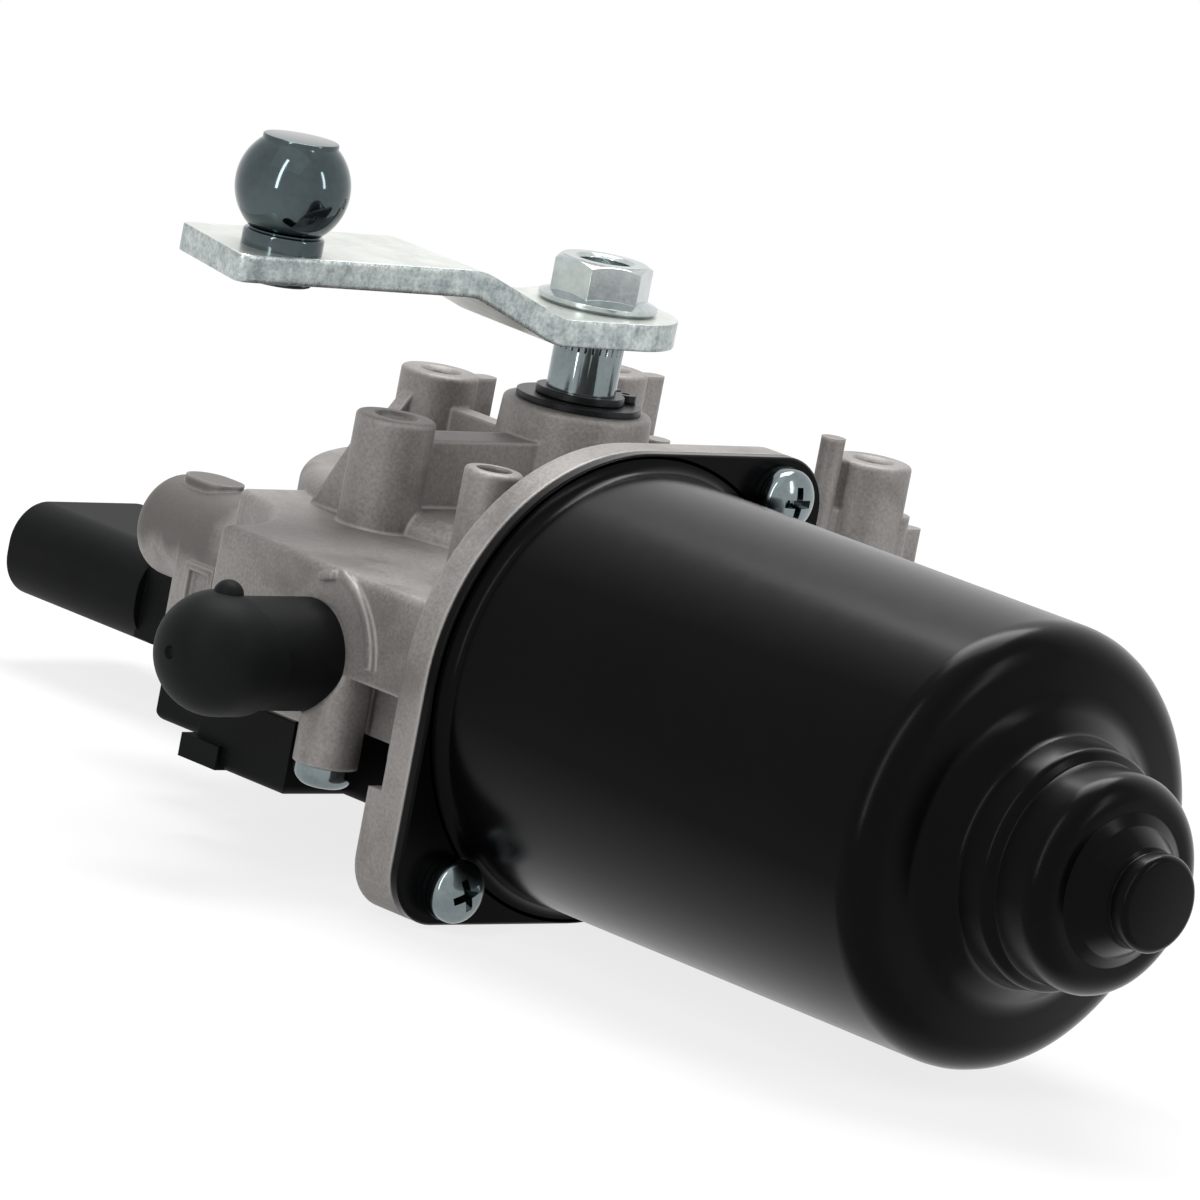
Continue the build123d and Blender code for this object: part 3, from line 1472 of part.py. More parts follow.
# Strips that lead the current from the cover to the brush card
with BuildPart() as lead_strips:
    for number in (-1, 0, 1):
        with BuildSketch(Plane.XZ.offset(-(lead_y + number * lead_pitch - lead_width / 2))):
            with BuildLine():
                FilletPolyline(
                    (flange_face_x, lead_z),
                    (lead_drop_x, lead_z),
                    (lead_drop_x, carrier_top_z + lead_thickness / 2),
                    (lead_drop_x - lead_foot_length, carrier_top_z + lead_thickness / 2),
                    radius=lead_bend_radius,
                )
            trace(line_width=lead_thickness)
        extrude(amount=-lead_width)
save(lead_strips.part, "lead_strips")

# Connector: oval hood, back wall, neck and the tongue that enters the cover
blade_z = (hood_top_z + hood_bottom_z) / 2
hood_section = Plane(origin=(hood_left_x, connector_y, blade_z), x_dir=(0, 1, 0), z_dir=(1, 0, 0))
hood_width = hood_back_y - hood_front_y
hood_height = hood_top_z - hood_bottom_z
strip_z = carrier_top_z + terminal_thickness / 2


def terminal_path(thickness):
    """Side view of a terminal: blade, step and strip."""
    with BuildSketch() as outline:
        with BuildLine():
            FilletPolyline(
                (terminal_left_x, blade_z),
                (terminal_step_x, blade_z),
                (terminal_step_x + terminal_step_run, strip_z),
                (strip_right_x, strip_z),
                radius=terminal_bend_radius,
            )
        trace(line_width=thickness)
    return outline.sketch


with BuildPart() as connector_shroud:
    with BuildSketch(hood_section):
        RectangleRounded(hood_width, hood_height, hood_corner)
    extrude(amount=hood_right_x - hood_left_x)
    with BuildSketch(hood_section):
        RectangleRounded(hood_width - 2 * hood_wall, hood_height - 2 * hood_wall, hood_corner - hood_wall)
    extrude(amount=hood_depth, mode=Mode.SUBTRACT)
    with BuildSketch(Plane.XY.offset(neck_bottom_z)):
        with Locations((hood_right_x - join, connector_y)):
            Rectangle(neck_right_x - hood_right_x, neck_width, align=(Align.MIN, Align.CENTER))
    extrude(amount=neck_top_z - neck_bottom_z)
    with BuildSketch(Plane.XY.offset(neck_bottom_z + hood_wall)):
        with Locations((hood_right_x, connector_y)):
            Rectangle(
                neck_right_x - hood_right_x,
                neck_width - 2 * hood_wall,
                align=(Align.MIN, Align.CENTER),
            )
    extrude(amount=neck_top_z - neck_bottom_z - 2 * hood_wall, mode=Mode.SUBTRACT)
    with BuildSketch(Plane.XY.offset(cover_floor_z)):
        Circle(cover_radius + seat_gap)
    extrude(amount=-cover_floor_z, mode=Mode.SUBTRACT)
    with BuildSketch(Plane.XY.offset(carrier_bottom_z + seat_gap)):
        with Locations((hood_right_x - join, connector_y)):
            Rectangle(tongue_right_x - hood_right_x, tongue_width, align=(Align.MIN, Align.CENTER))
    extrude(amount=carrier_thickness - 2 * seat_gap)
    for number in range(terminal_count):
        shift = (number - (terminal_count - 1) / 2) * terminal_pitch
        with BuildSketch(Plane.XZ.offset(-connector_y - shift)):
            add(terminal_path(terminal_thickness + 2 * seat_gap))
        extrude(amount=terminal_width / 2 + seat_gap, both=True, mode=Mode.SUBTRACT)
save(connector_shroud.part, "connector_shroud")

with BuildPart() as connector_terminals:
    for number in range(terminal_count):
        shift = (number - (terminal_count - 1) / 2) * terminal_pitch
        with BuildSketch(Plane.XZ.offset(-connector_y - shift)):
            add(terminal_path(terminal_thickness))
        extrude(amount=terminal_width / 2, both=True)
save(connector_terminals.part, "connector_terminals")

# Ground screw under its boss
with BuildPart() as ground_screw:
    with BuildSketch(Plane.XY.offset(ground_boss_bottom_z)):
        with Locations(ground_boss):
            Circle(ground_screw_shank_radius)
    extrude(amount=ground_screw_length)
    with BuildSketch(Plane.XY.offset(ground_boss_bottom_z)):
        with Locations(ground_boss):
            Circle(ground_screw_head_radius)
    extrude(amount=-ground_screw_head_height)
    fillet(ground_screw.faces().sort_by(Axis.Z)[0].edges(), ground_screw_head_edge)
save(ground_screw.part, "ground_screw")

# Breather: rubber tube and the domed cap over its end
vent_profile = Plane(origin=(vent_x, 0, vent_z), x_dir=(0, -1, 0), z_dir=(-1, 0, 0))
vent_axis = Axis((vent_x, 0, vent_z), (0, -1, 0))
with BuildPart() as vent_tube:
    with BuildSketch(vent_profile):
        with BuildLine():
            Polyline(
                (-box_front_y - vent_spigot_length, vent_bore_radius),
                (-box_front_y - vent_spigot_length, vent_spigot_radius),
                (-box_front_y, vent_spigot_radius),
                (-box_front_y, vent_tube_radius),
                (-vent_tube_tip_y, vent_tube_radius),
                (-vent_tube_tip_y, vent_bore_radius),
                close=True,
            )
        make_face()
    revolve(axis=vent_axis)
save(vent_tube.part, "vent_tube")

with BuildPart() as vent_cap:
    with BuildSketch(vent_profile):
        with BuildLine():
            dome = CenterArc((-cap_centre_y, 0), cap_radius, 0, 90)
            inside = CenterArc((-cap_centre_y, 0), vent_tube_radius + seat_gap, 0, 90)
            Line(dome @ 0, inside @ 0)
            Polyline(
                dome @ 1,
                (-cap_rim_y - vent_tube_radius, cap_radius),
                (-cap_rim_y - vent_tube_radius, vent_tube_radius + seat_gap),
                inside @ 1,
            )
        make_face()
    revolve(axis=vent_axis)
    rim_normal = (0, math.cos(math.radians(cap_rim_slope)), math.sin(math.radians(cap_rim_slope)))
    rim_plane = Plane(origin=(vent_x, cap_rim_y, vent_z), x_dir=(1, 0, 0), z_dir=rim_normal)
    split(bisect_by=rim_plane, keep=Keep.BOTTOM)
    with Locations((vent_x, cap_nub_y, vent_z + cap_radius - join)):
        Sphere(cap_nub_radius)
    with BuildSketch(vent_profile):
        with BuildLine():
            Line((-box_front_y, 0), (-cap_centre_y, 0))
            bore = CenterArc((-cap_centre_y, 0), vent_tube_radius + seat_gap, 0, 90)
            Line((-cap_centre_y, 0), bore @ 0)
            Polyline(bore @ 1, (-box_front_y, vent_tube_radius + seat_gap), (-box_front_y, 0))
        make_face()
    revolve(axis=vent_axis, mode=Mode.SUBTRACT)
save(vent_cap.part, "vent_cap")
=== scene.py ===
# %% [markdown]
# A windscreen wiper motor, dressed for its picture. The solid parts come from the CAD model,
# in metres, with the output shaft standing on the Z axis and the motor lying along X.
# This lesson gives every part its finish, and makes again the parts whose roundness,
# recesses or edges the picture shows more closely than a plain solid does.

# %% Load the frame
import cmath
import json
import math

import bmesh
import bpy
from mathutils import Matrix, Vector

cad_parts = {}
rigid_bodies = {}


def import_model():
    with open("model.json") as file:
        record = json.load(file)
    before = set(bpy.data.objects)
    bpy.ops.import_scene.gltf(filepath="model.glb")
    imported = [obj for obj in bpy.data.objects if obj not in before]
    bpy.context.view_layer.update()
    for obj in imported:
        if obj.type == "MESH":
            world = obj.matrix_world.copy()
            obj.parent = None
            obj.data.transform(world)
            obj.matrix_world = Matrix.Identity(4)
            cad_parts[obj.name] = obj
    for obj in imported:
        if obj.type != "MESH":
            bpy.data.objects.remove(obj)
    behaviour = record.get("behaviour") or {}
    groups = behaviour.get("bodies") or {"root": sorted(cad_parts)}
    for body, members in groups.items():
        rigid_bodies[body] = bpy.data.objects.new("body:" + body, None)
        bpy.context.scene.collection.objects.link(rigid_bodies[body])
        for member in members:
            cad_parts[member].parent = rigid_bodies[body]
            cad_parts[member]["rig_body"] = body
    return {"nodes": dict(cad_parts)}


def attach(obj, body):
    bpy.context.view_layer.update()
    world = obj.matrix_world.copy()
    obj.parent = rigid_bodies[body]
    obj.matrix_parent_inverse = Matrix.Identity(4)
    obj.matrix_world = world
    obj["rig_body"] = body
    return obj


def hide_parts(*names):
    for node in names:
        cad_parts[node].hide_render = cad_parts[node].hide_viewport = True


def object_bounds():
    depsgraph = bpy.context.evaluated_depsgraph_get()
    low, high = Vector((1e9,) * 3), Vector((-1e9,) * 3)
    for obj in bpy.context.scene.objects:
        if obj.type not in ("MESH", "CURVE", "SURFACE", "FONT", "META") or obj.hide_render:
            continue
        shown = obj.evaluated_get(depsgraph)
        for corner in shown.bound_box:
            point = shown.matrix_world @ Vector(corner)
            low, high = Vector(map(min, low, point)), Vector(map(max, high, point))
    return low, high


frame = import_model()
nodes = frame["nodes"]
scene = bpy.context.scene
cad_low, cad_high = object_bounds()
MM = 0.001
print(f"{len(nodes)} parts, {(cad_high.x - cad_low.x) / MM:.1f} mm long")

# %% [markdown]
# Blender shades in linear light, while colours are picked as sRGB hex values. One function
# turns one into the other, so every colour below can be read with any colour picker.


# %% Colours
def linear(code):
    """Turn an sRGB hex value into the linear colour that a shader takes."""
    parts = [int(code[i:i + 2], 16) / 255 for i in (1, 3, 5)]
    return [c / 12.92 if c <= 0.04045 else ((c + 0.055) / 1.055) ** 2.4 for c in parts] + [1.0]


print("mid grey in linear light:", round(linear("#808080")[0], 3))

# %% [markdown]
# Shader trees and Geometry Nodes trees are both built node by node. A single function adds
# a node, sets its properties, and fills each input with a value or with a link.


# %% Adding a node
def add(tree, kind, inputs=None, **settings):
    """Add one node with its settings, and give its inputs values or links."""
    node = tree.nodes.new(kind)
    for name, value in settings.items():
        setattr(node, name, value)
    for key, value in (inputs or {}).items():
        socket = node.inputs[key]
        if isinstance(value, bpy.types.NodeSocket):
            tree.links.new(value, socket)
        else:
            socket.default_value = value
    return node


# %% [markdown]
# Each finish starts from what the real material is. They all share three things: a base
# colour that clouds a little, a roughness that varies as a made surface does, and a grain
# whose size is a real one in millimetres. Object coordinates are metres here, so a noise
# scale of 1000 divided by the grain size puts one grain on each such length. A noise seldom
# strays far from its middle, so its useful part is stretched before it mixes two colours.

# %% A surface with clouds and grain
noise_low, noise_high = 0.36, 0.64


def per_mm(size):
    """Noise scale that gives one cell for each size in millimetres."""
    return 1 / (size * MM)


def surface(name, colour, second, cloud_mm, grain_mm, depth_mm, rough, speck=0.3, **sockets):
    """Principled material with clouded colour, varied roughness and a grain of real size.

    rough is the lowest and the highest roughness, and speck is the grain's share in the colour.
    """
    material = bpy.data.materials.new(name)
    material.use_nodes = True
    tree = material.node_tree
    shader = tree.nodes["Principled BSDF"]
    for key, value in sockets.items():
        shader.inputs[key.replace("_", " ")].default_value = value
    place = add(tree, "ShaderNodeTexCoord").outputs["Object"]
    clouds = {"Vector": place, "Scale": per_mm(cloud_mm), "Detail": 4.0}
    cloud = add(tree, "ShaderNodeTexNoise", clouds).outputs["Fac"]
    grains = {"Vector": place, "Scale": per_mm(grain_mm), "Detail": 3.0}
    grain = add(tree, "ShaderNodeTexNoise", grains).outputs["Fac"]
    share = add(tree, "ShaderNodeMix", {0: speck, 2: cloud, 3: grain}).outputs[0]
    stretch = {"Value": share, "From Min": noise_low, "From Max": noise_high}
    wide = add(tree, "ShaderNodeMapRange", stretch).outputs["Result"]
    colours = {0: wide, 6: linear(colour), 7: linear(second)}
    tint = add(tree, "ShaderNodeMix", colours, data_type="RGBA")
    tree.links.new(tint.outputs[2], shader.inputs["Base Color"])
    spread = {"Value": grain, "To Min": rough[0], "To Max": rough[1]}
    dull = add(tree, "ShaderNodeMapRange", spread)
    tree.links.new(dull.outputs["Result"], shader.inputs["Roughness"])
    bump = add(tree, "ShaderNodeBump", {"Height": grain, "Distance": depth_mm * MM})
    bump.name = "Grain"
    tree.links.new(bump.outputs["Normal"], shader.inputs["Normal"])
    return material


def eased(material, radius_mm):
    """Let a finish run softly over sharp edges and inside corners, as a casting or moulding does."""
    tree = material.node_tree
    soft = add(tree, "ShaderNodeBevel", {"Radius": radius_mm * MM}, samples=6)
    soft.name = "Soft"
    tree.links.new(soft.outputs["Normal"], tree.nodes["Grain"].inputs["Normal"])


print("a grain of half a millimetre has a noise scale of", round(per_mm(0.5)))

# %% [markdown]
# A casting is never one even grey. Die release leaves darker stains that follow no shape, and trimming and
# tumbling polish the edges paler. The soft normal differs from the true one only near an edge or an inside
# corner, so that difference says where the pale goes: partly worn metal on the edges, and partly a painted
# highlight along the edges and fillets. The darkest stain lies on the boss that closes the worm's bore. A
# pair of places along each axis says where it starts and where it is full, and the noise pushes them about,
# because a stain has no straight border.

# %% Stains, worn edges and painted edge highlights
patch_mm, patch_share = 11, 0.4
patch_starts, patch_full = 0.5, 0.68
boss_share, wander_mm = 0.8, 14
boss_stain_x, boss_stain_y, boss_stain_z = (-14, -19), (-26, -28), (-41, -37)
edge_starts, edge_full, edge_share = 0.995, 0.9, 0.55


def cast_marks_and_highlights(material, stain, rubbed_and_highlit):
    """Darken a casting in patches and on its closed end; pale its edges and fillets, as wear and as a
    painted highlight.
    """
    tree = material.node_tree
    shader = tree.nodes["Principled BSDF"]
    clean = shader.inputs["Base Color"].links[0].from_socket
    place = add(tree, "ShaderNodeTexCoord").outputs["Object"]
    blots = {"Vector": place, "Scale": per_mm(patch_mm), "Detail": 5.0, "Distortion": 0.6}
    blot = add(tree, "ShaderNodeTexNoise", blots).outputs["Fac"]
    spots = {"Value": blot, "From Min": patch_starts, "From Max": patch_full, "To Max": patch_share}
    patch = add(tree, "ShaderNodeMapRange", spots).outputs["Result"]
    where = add(tree, "ShaderNodeSeparateXYZ", {0: place}).outputs
    wander = {0: blot, 1: wander_mm * MM}
    push = add(tree, "ShaderNodeMath", wander, operation="MULTIPLY").outputs[0]
    length = add(tree, "ShaderNodeMath", {0: where["X"], 1: push}, operation="ADD").outputs[0]
    height = add(tree, "ShaderNodeMath", {0: where["Z"], 1: push}, operation="SUBTRACT").outputs[0]
    boss = boss_share
    limits = ((length, boss_stain_x), (where["Y"], boss_stain_y), (height, boss_stain_z))
    for value, (starts, full) in limits:
        fade = {"Value": value, "From Min": starts * MM, "From Max": full * MM}
        inside = add(tree, "ShaderNodeMapRange", fade).outputs["Result"]
        boss = add(tree, "ShaderNodeMath", {0: inside, 1: boss}, operation="MULTIPLY").outputs[0]
    worst = add(tree, "ShaderNodeMath", {0: patch, 1: boss}, operation="MAXIMUM").outputs[0]
    stained = {0: worst, 6: clean, 7: linear(stain)}
    dark = add(tree, "ShaderNodeMix", stained, data_type="RGBA").outputs[2]
    true_normal = add(tree, "ShaderNodeNewGeometry").outputs["Normal"]
    normals = {0: tree.nodes["Soft"].outputs["Normal"], 1: true_normal}
    same = add(tree, "ShaderNodeVectorMath", normals, operation="DOT_PRODUCT").outputs["Value"]
    # Near edges and fillets the colour turns pale: worn metal, and a painted highlight as well.
    rub_and_highlight = {"Value": same, "From Min": edge_starts, "From Max": edge_full, "To Max": edge_share}
    edge = add(tree, "ShaderNodeMapRange", rub_and_highlight).outputs["Result"]
    paled = {0: edge, 6: dark, 7: linear(rubbed_and_highlit)}
    pale = add(tree, "ShaderNodeMix", paled, data_type="RGBA")
    tree.links.new(pale.outputs[2], shader.inputs["Base Color"])


print("the boss stain is full left of X", boss_stain_x[1], "mm")

# %% [markdown]
# The gear housing is die-cast aluminium, left as it came from the die after a light blast:
# a warm grey metal, dull, with a fine sandy grain and faint flow clouds. The can is drawn
# steel under black stoving enamel, smooth enough to mirror the lamps softly, with the
# faint orange peel that enamel has. One glossiness all over would light the whole can up,
# so the enamel's gloss follows the slant at which each place of it is seen.

# %% Housing and can finishes
# Blasted die-cast aluminium gives a broken grey that shines only in wide soft patches. Its
# true grain is too fine to show, so it is drawn at half a millimetre.
die_cast = surface(
    "die-cast aluminium, blasted", "#7c7875", "#989491", cloud_mm=14, grain_mm=0.5,
    depth_mm=0.05, rough=(0.42, 0.6), speck=0.55, Metallic=0.45,
)
eased(die_cast, 0.9)
# The pale edge colour is partly worn metal and partly a painted highlight along edges and fillets.
cast_marks_and_highlights(die_cast, stain="#4f4c49", rubbed_and_highlit="#b4b1ad")

# Stoving enamel gives a smooth black skin, so the eye sees little but soft bands of light.
enamel = surface(
    "black stoving enamel", "#040405", "#060607", cloud_mm=20, grain_mm=3.0,
    depth_mm=0.003, rough=(0.2, 0.27), IOR=1.5,
)
face_on_slant, face_on_gloss = 0.3, 0.06
grazing_slant, grazing_gloss = 0.85, 0.5
lacquer = enamel.node_tree
slant = add(lacquer, "ShaderNodeLayerWeight", {"Blend": 0.5}).outputs["Facing"]
gloss = add(lacquer, "ShaderNodeMapRange", {
    "Value": slant, "From Min": face_on_slant, "From Max": grazing_slant,
    "To Min": face_on_gloss, "To Max": grazing_gloss})
lacquer.links.new(gloss.outputs["Result"], lacquer.nodes["Principled BSDF"].inputs["Specular IOR Level"])
print("two finishes made, and", len(bpy.data.materials), "materials with the frame's own")

# %% [markdown]
# The screws, nut, ball and crank are steel under bright zinc, a plated layer so thin that it is only as
# smooth as the steel below it. So one plating needs five finishes: three for the way its steel was shaped, a
# paler one on the nut that paints the light on its flats, and a darker one on the ball that paints the dark
# reflections in it.

# %% Zinc finishes
# Turned steel gives a cool grey mirror, a little softened by tool marks.
zinc = surface(
    "bright zinc on turned steel", "#737d7f", "#858f91", cloud_mm=9, grain_mm=0.8,
    depth_mm=0.004, rough=(0.1, 0.18), Metallic=1.0,
)
# The nut's zinc is paler than the turned zinc, which paints the light on its lit flats, and slightly duller.
zinc_nut_painted_light = surface(
    "bright zinc on the nut, painted light", "#adb5b6", "#c8cecd", cloud_mm=4, grain_mm=0.8,
    depth_mm=0.004, rough=(0.12, 0.22), Metallic=1.0,
)
# The ball's zinc is far darker than the plating is, which paints the dark reflections in it, and so smooth
# that the lamps are small sharp lights in it.
zinc_ball_painted_dark = surface(
    "bright zinc on the ball, painted dark reflection", "#454f52", "#515b5e", cloud_mm=6, grain_mm=0.9,
    depth_mm=0.002, rough=(0.06, 0.1), Metallic=1.0,
)
# Rolled sheet gives a nearly white face with cloudy reflections.
zinc_sheet = surface(
    "bright zinc on rolled sheet", "#c9ccc7", "#dcded8", cloud_mm=5, grain_mm=1.2,
    depth_mm=0.008, rough=(0.24, 0.36), Metallic=0.75,
)
# A sheared edge is torn steel, so it is patchy and breaks the light up.
zinc_cut = surface(
    "bright zinc on a sheared edge", "#8b9597", "#c6cdcb", cloud_mm=2.2, grain_mm=0.6,
    depth_mm=0.03, rough=(0.2, 0.36), speck=0.45, Metallic=1.0,
)
eased(zinc_cut, 0.8)
print("five more finishes make", len(bpy.data.materials), "materials")

# %% [markdown]
# Inside and underneath are the other makers' materials: moulded nylon and rubber, sintered
# bronze bushes that hold oil, spring steel, copper, ferrite and pressed laminate.

# %% Other finishes
# Nylon filled with glass fibre gives a matt black with a fine even grain and hardly a shine.
nylon = surface(
    "glass-filled nylon, moulded", "#08090a", "#0f1011", cloud_mm=12, grain_mm=0.4,
    depth_mm=0.015, rough=(0.45, 0.6), speck=0.5, Specular_IOR_Level=0.07,
)
eased(nylon, 0.25)
# Moulded rubber gives a dull black that turns faintly grey where light grazes it.
rubber = surface(
    "rubber, moulded", "#0a0b0c", "#111213", cloud_mm=10, grain_mm=0.5,
    depth_mm=0.012, rough=(0.5, 0.64), speck=0.4, Specular_IOR_Level=0.1,
)
eased(rubber, 0.12)
# Acetal gives a milky white with a waxy sheen.
acetal = surface(
    "acetal, moulded", "#d9d5c8", "#e4e0d4", cloud_mm=15, grain_mm=0.6,
    depth_mm=0.006, rough=(0.3, 0.42), IOR=1.48,
)
# Sintered bronze is pressed powder full of oil, which gives a brown, finely grained metal.
bronze = surface(
    "sintered bronze, oiled", "#8a6a45", "#9c7a50", cloud_mm=3, grain_mm=0.2,
    depth_mm=0.01, rough=(0.38, 0.5), Metallic=1.0,
)
# Ground steel gives a plain grey mirror, blurred by its fine scratches.
ground = surface(
    "steel, ground", "#6a7072", "#7d8385", cloud_mm=6, grain_mm=0.3,
    depth_mm=0.004, rough=(0.2, 0.3), Metallic=1.0,
)
# Black oxide leaves spring steel dark, with a soft metallic gleam.
oxide = surface(
    "spring steel, black oxide", "#1d1e20", "#2a2b2d", cloud_mm=5, grain_mm=0.4,
    depth_mm=0.005, rough=(0.28, 0.42), Metallic=0.8,
)
# Punched electrical steel gives the dull bluish grey of a stack of sheets.
core_steel = surface(
    "electrical steel, punched", "#6f7377", "#7d8185", cloud_mm=4, grain_mm=0.35,
    depth_mm=0.01, rough=(0.35, 0.5), Metallic=1.0,
)
# Drawn copper gives a clean orange metal.
copper = surface(
    "copper, drawn", "#b87350", "#c88462", cloud_mm=6, grain_mm=0.5,
    depth_mm=0.004, rough=(0.2, 0.34), Metallic=1.0,
)
# Enamelled wire gives the red brown of copper seen through varnish.
magnet_wire = surface(
    "copper wire, enamelled", "#8f3d18", "#a84c20", cloud_mm=3, grain_mm=0.6,
    depth_mm=0.02, rough=(0.2, 0.35), Metallic=0.7,
)
# Rolled brass gives a smooth warm yellow.
brass = surface(
    "brass, rolled", "#c4a45a", "#d0b268", cloud_mm=8, grain_mm=0.5,
    depth_mm=0.004, rough=(0.2, 0.32), Metallic=1.0,
)
# Tin on copper strip gives a white metal with a soft shine.
tinned = surface(
    "copper strip, tinned", "#b9bbb8", "#c6c8c5", cloud_mm=6, grain_mm=0.5,
    depth_mm=0.006, rough=(0.22, 0.36), Metallic=1.0,
)
# Sintered ferrite gives a dark grey without shine, much like slate.
ferrite = surface(
    "ferrite, sintered", "#1e1f21", "#292a2c", cloud_mm=5, grain_mm=0.3,
    depth_mm=0.012, rough=(0.5, 0.7), IOR=1.9,
)
# Carbon pressed with copper powder gives a near black with a brown glint.
carbon = surface(
    "carbon and copper, sintered", "#2a2726", "#3a322d", cloud_mm=2, grain_mm=0.2,
    depth_mm=0.008, rough=(0.4, 0.55), Metallic=0.5,
)
# Pressed phenolic laminate gives a dark brown with a faint gloss.
phenolic = surface(
    "phenolic laminate, pressed", "#4c2e1a", "#5a3820", cloud_mm=5, grain_mm=0.4,
    depth_mm=0.006, rough=(0.35, 0.5), IOR=1.6,
)
# Sealing rubber gives an even matt black.
seal_rubber = surface(
    "sealing rubber, moulded", "#101112", "#18191a", cloud_mm=8, grain_mm=0.4,
    depth_mm=0.008, rough=(0.45, 0.6), IOR=1.5,
)
print("all finishes and the frame's own make", len(bpy.data.materials), "materials")

# %% [markdown]
# A part of the frame can keep its shape and still look better. A copy of its mesh is merged,
# its flat faces are joined, its sharp edges get a narrow bevel that catches light, and its
# round faces are shaded smooth. The copy then stands for the CAD part.

# %% Dressing a copy of a CAD part
same_corner = 0.5e-6  # metres
flat_enough = math.radians(0.4)
crease = math.radians(34)


def in_scene(name, data):
    """New object for some data, in the scene."""
    made = bpy.data.objects.new(name, data)
    scene.collection.objects.link(made)
    return made


def smooth(mesh, angle=crease):
    """Shade a mesh smoothly, apart from the edges that turn by more than an angle."""
    mesh.shade_smooth()
    mesh.set_sharp_from_angle(angle=angle)


def piece(name, mesh, body, node, finish):
    """Put a finished mesh on its body, in place of its CAD part."""
    made = in_scene(name, mesh)
    mesh.materials.clear()
    mesh.materials.append(finish)
    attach(made, body)
    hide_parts(node)
    return made


def dressed(node, finish, edge_mm, keep=None):
    """Merged, bevelled and smoothly shaded copy of a CAD part, or of the faces to keep."""
    mesh = nodes[node].data.copy()
    mesh.name = node + "_dressed"
    work = bmesh.new()
    work.from_mesh(mesh)
    bmesh.ops.remove_doubles(work, verts=work.verts, dist=same_corner)
    if keep is not None:
        spare = [f for f in work.faces if not keep(f.calc_center_median() / MM)]
        bmesh.ops.delete(work, geom=spare, context="FACES")
    bmesh.ops.dissolve_limit(work, angle_limit=flat_enough, verts=work.verts, edges=work.edges)
    work.to_mesh(mesh)
    work.free()
    smooth(mesh)
    made = piece(node + "_dressed", mesh, nodes[node]["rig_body"], node, finish)
    bevel = made.modifiers.new("Bevel", "BEVEL")
    bevel.width = edge_mm * MM
    bevel.segments = 2
    bevel.limit_method = "ANGLE"
    bevel.angle_limit = crease
    weight = made.modifiers.new("Weighted Normal", "WEIGHTED_NORMAL")
    weight.keep_sharp = True
    return made


housing = dressed("gear_housing", die_cast, edge_mm=0.25)
for moulded in ("gear_cover", "connector_shroud"):
    dressed(moulded, nylon, edge_mm=0.25)
print("housing faces", len(housing.data.polygons))

# %% [markdown]
# Screws, springs and turned parts come from Geometry Nodes trees. Each tree starts with its
# named inputs, and ends by making its copies real and giving them their finish. Two small
# functions write that start and that end.


# %% The start and the end of a tree
def new_tree(name, kinds):
    """Empty Geometry Nodes tree with named inputs, each a label and the kind of its value."""
    tree = bpy.data.node_groups.new(name, "GeometryNodeTree")
    for label, kind in kinds.items():
        tree.interface.new_socket(label, in_out="INPUT", socket_type="NodeSocket" + kind)
    tree.interface.new_socket("Geometry", in_out="OUTPUT", socket_type="NodeSocketGeometry")
    return tree


def end_tree(tree, geometry, finish):
    """Make a tree's copies real, give them their finish and hand them out."""
    real = add(tree, "GeometryNodeRealizeInstances", {"Geometry": geometry})
    done = add(tree, "GeometryNodeSetMaterial", {"Geometry": real.outputs[0], "Material": finish})
    add(tree, "NodeGroupOutput", {"Geometry": done.outputs[0]})
    print(tree.name, "tree of", len(tree.nodes), "nodes")


# %% [markdown]
# Many parts of a motor are turned on a lathe or drawn as a cup, so their whole shape is one
# outline swept round an axis. Geometry Nodes do this with a grid: each row of the grid reads
# one point of the outline, and each column is one step round. The outline itself is a list
# of corners, and each corner that has a radius is rounded first.

# %% The lathe tree
weld = 0.2e-6  # metres


def rounded(corners, steps=7):
    """Outline through (along, out, radius) corners in mm, with an arc at each radius."""
    points = []
    for i, (along, out, radius) in enumerate(corners):
        here = complex(along, out)
        if not radius:
            points.append(here)
            continue
        before = complex(*corners[i - 1][:2]) - here
        after = complex(*corners[i + 1][:2]) - here
        before /= abs(before)
        after /= abs(after)
        half = abs(cmath.phase(after / before)) / 2
        centre = here + (before + after) / abs(before + after) * radius / math.sin(half)
        start = here + before * radius / math.tan(half) - centre
        turn = cmath.phase((here + after * radius / math.tan(half) - centre) / start)
        points += [centre + start * cmath.exp(1j * turn * k / steps) for k in range(steps + 1)]
    return points


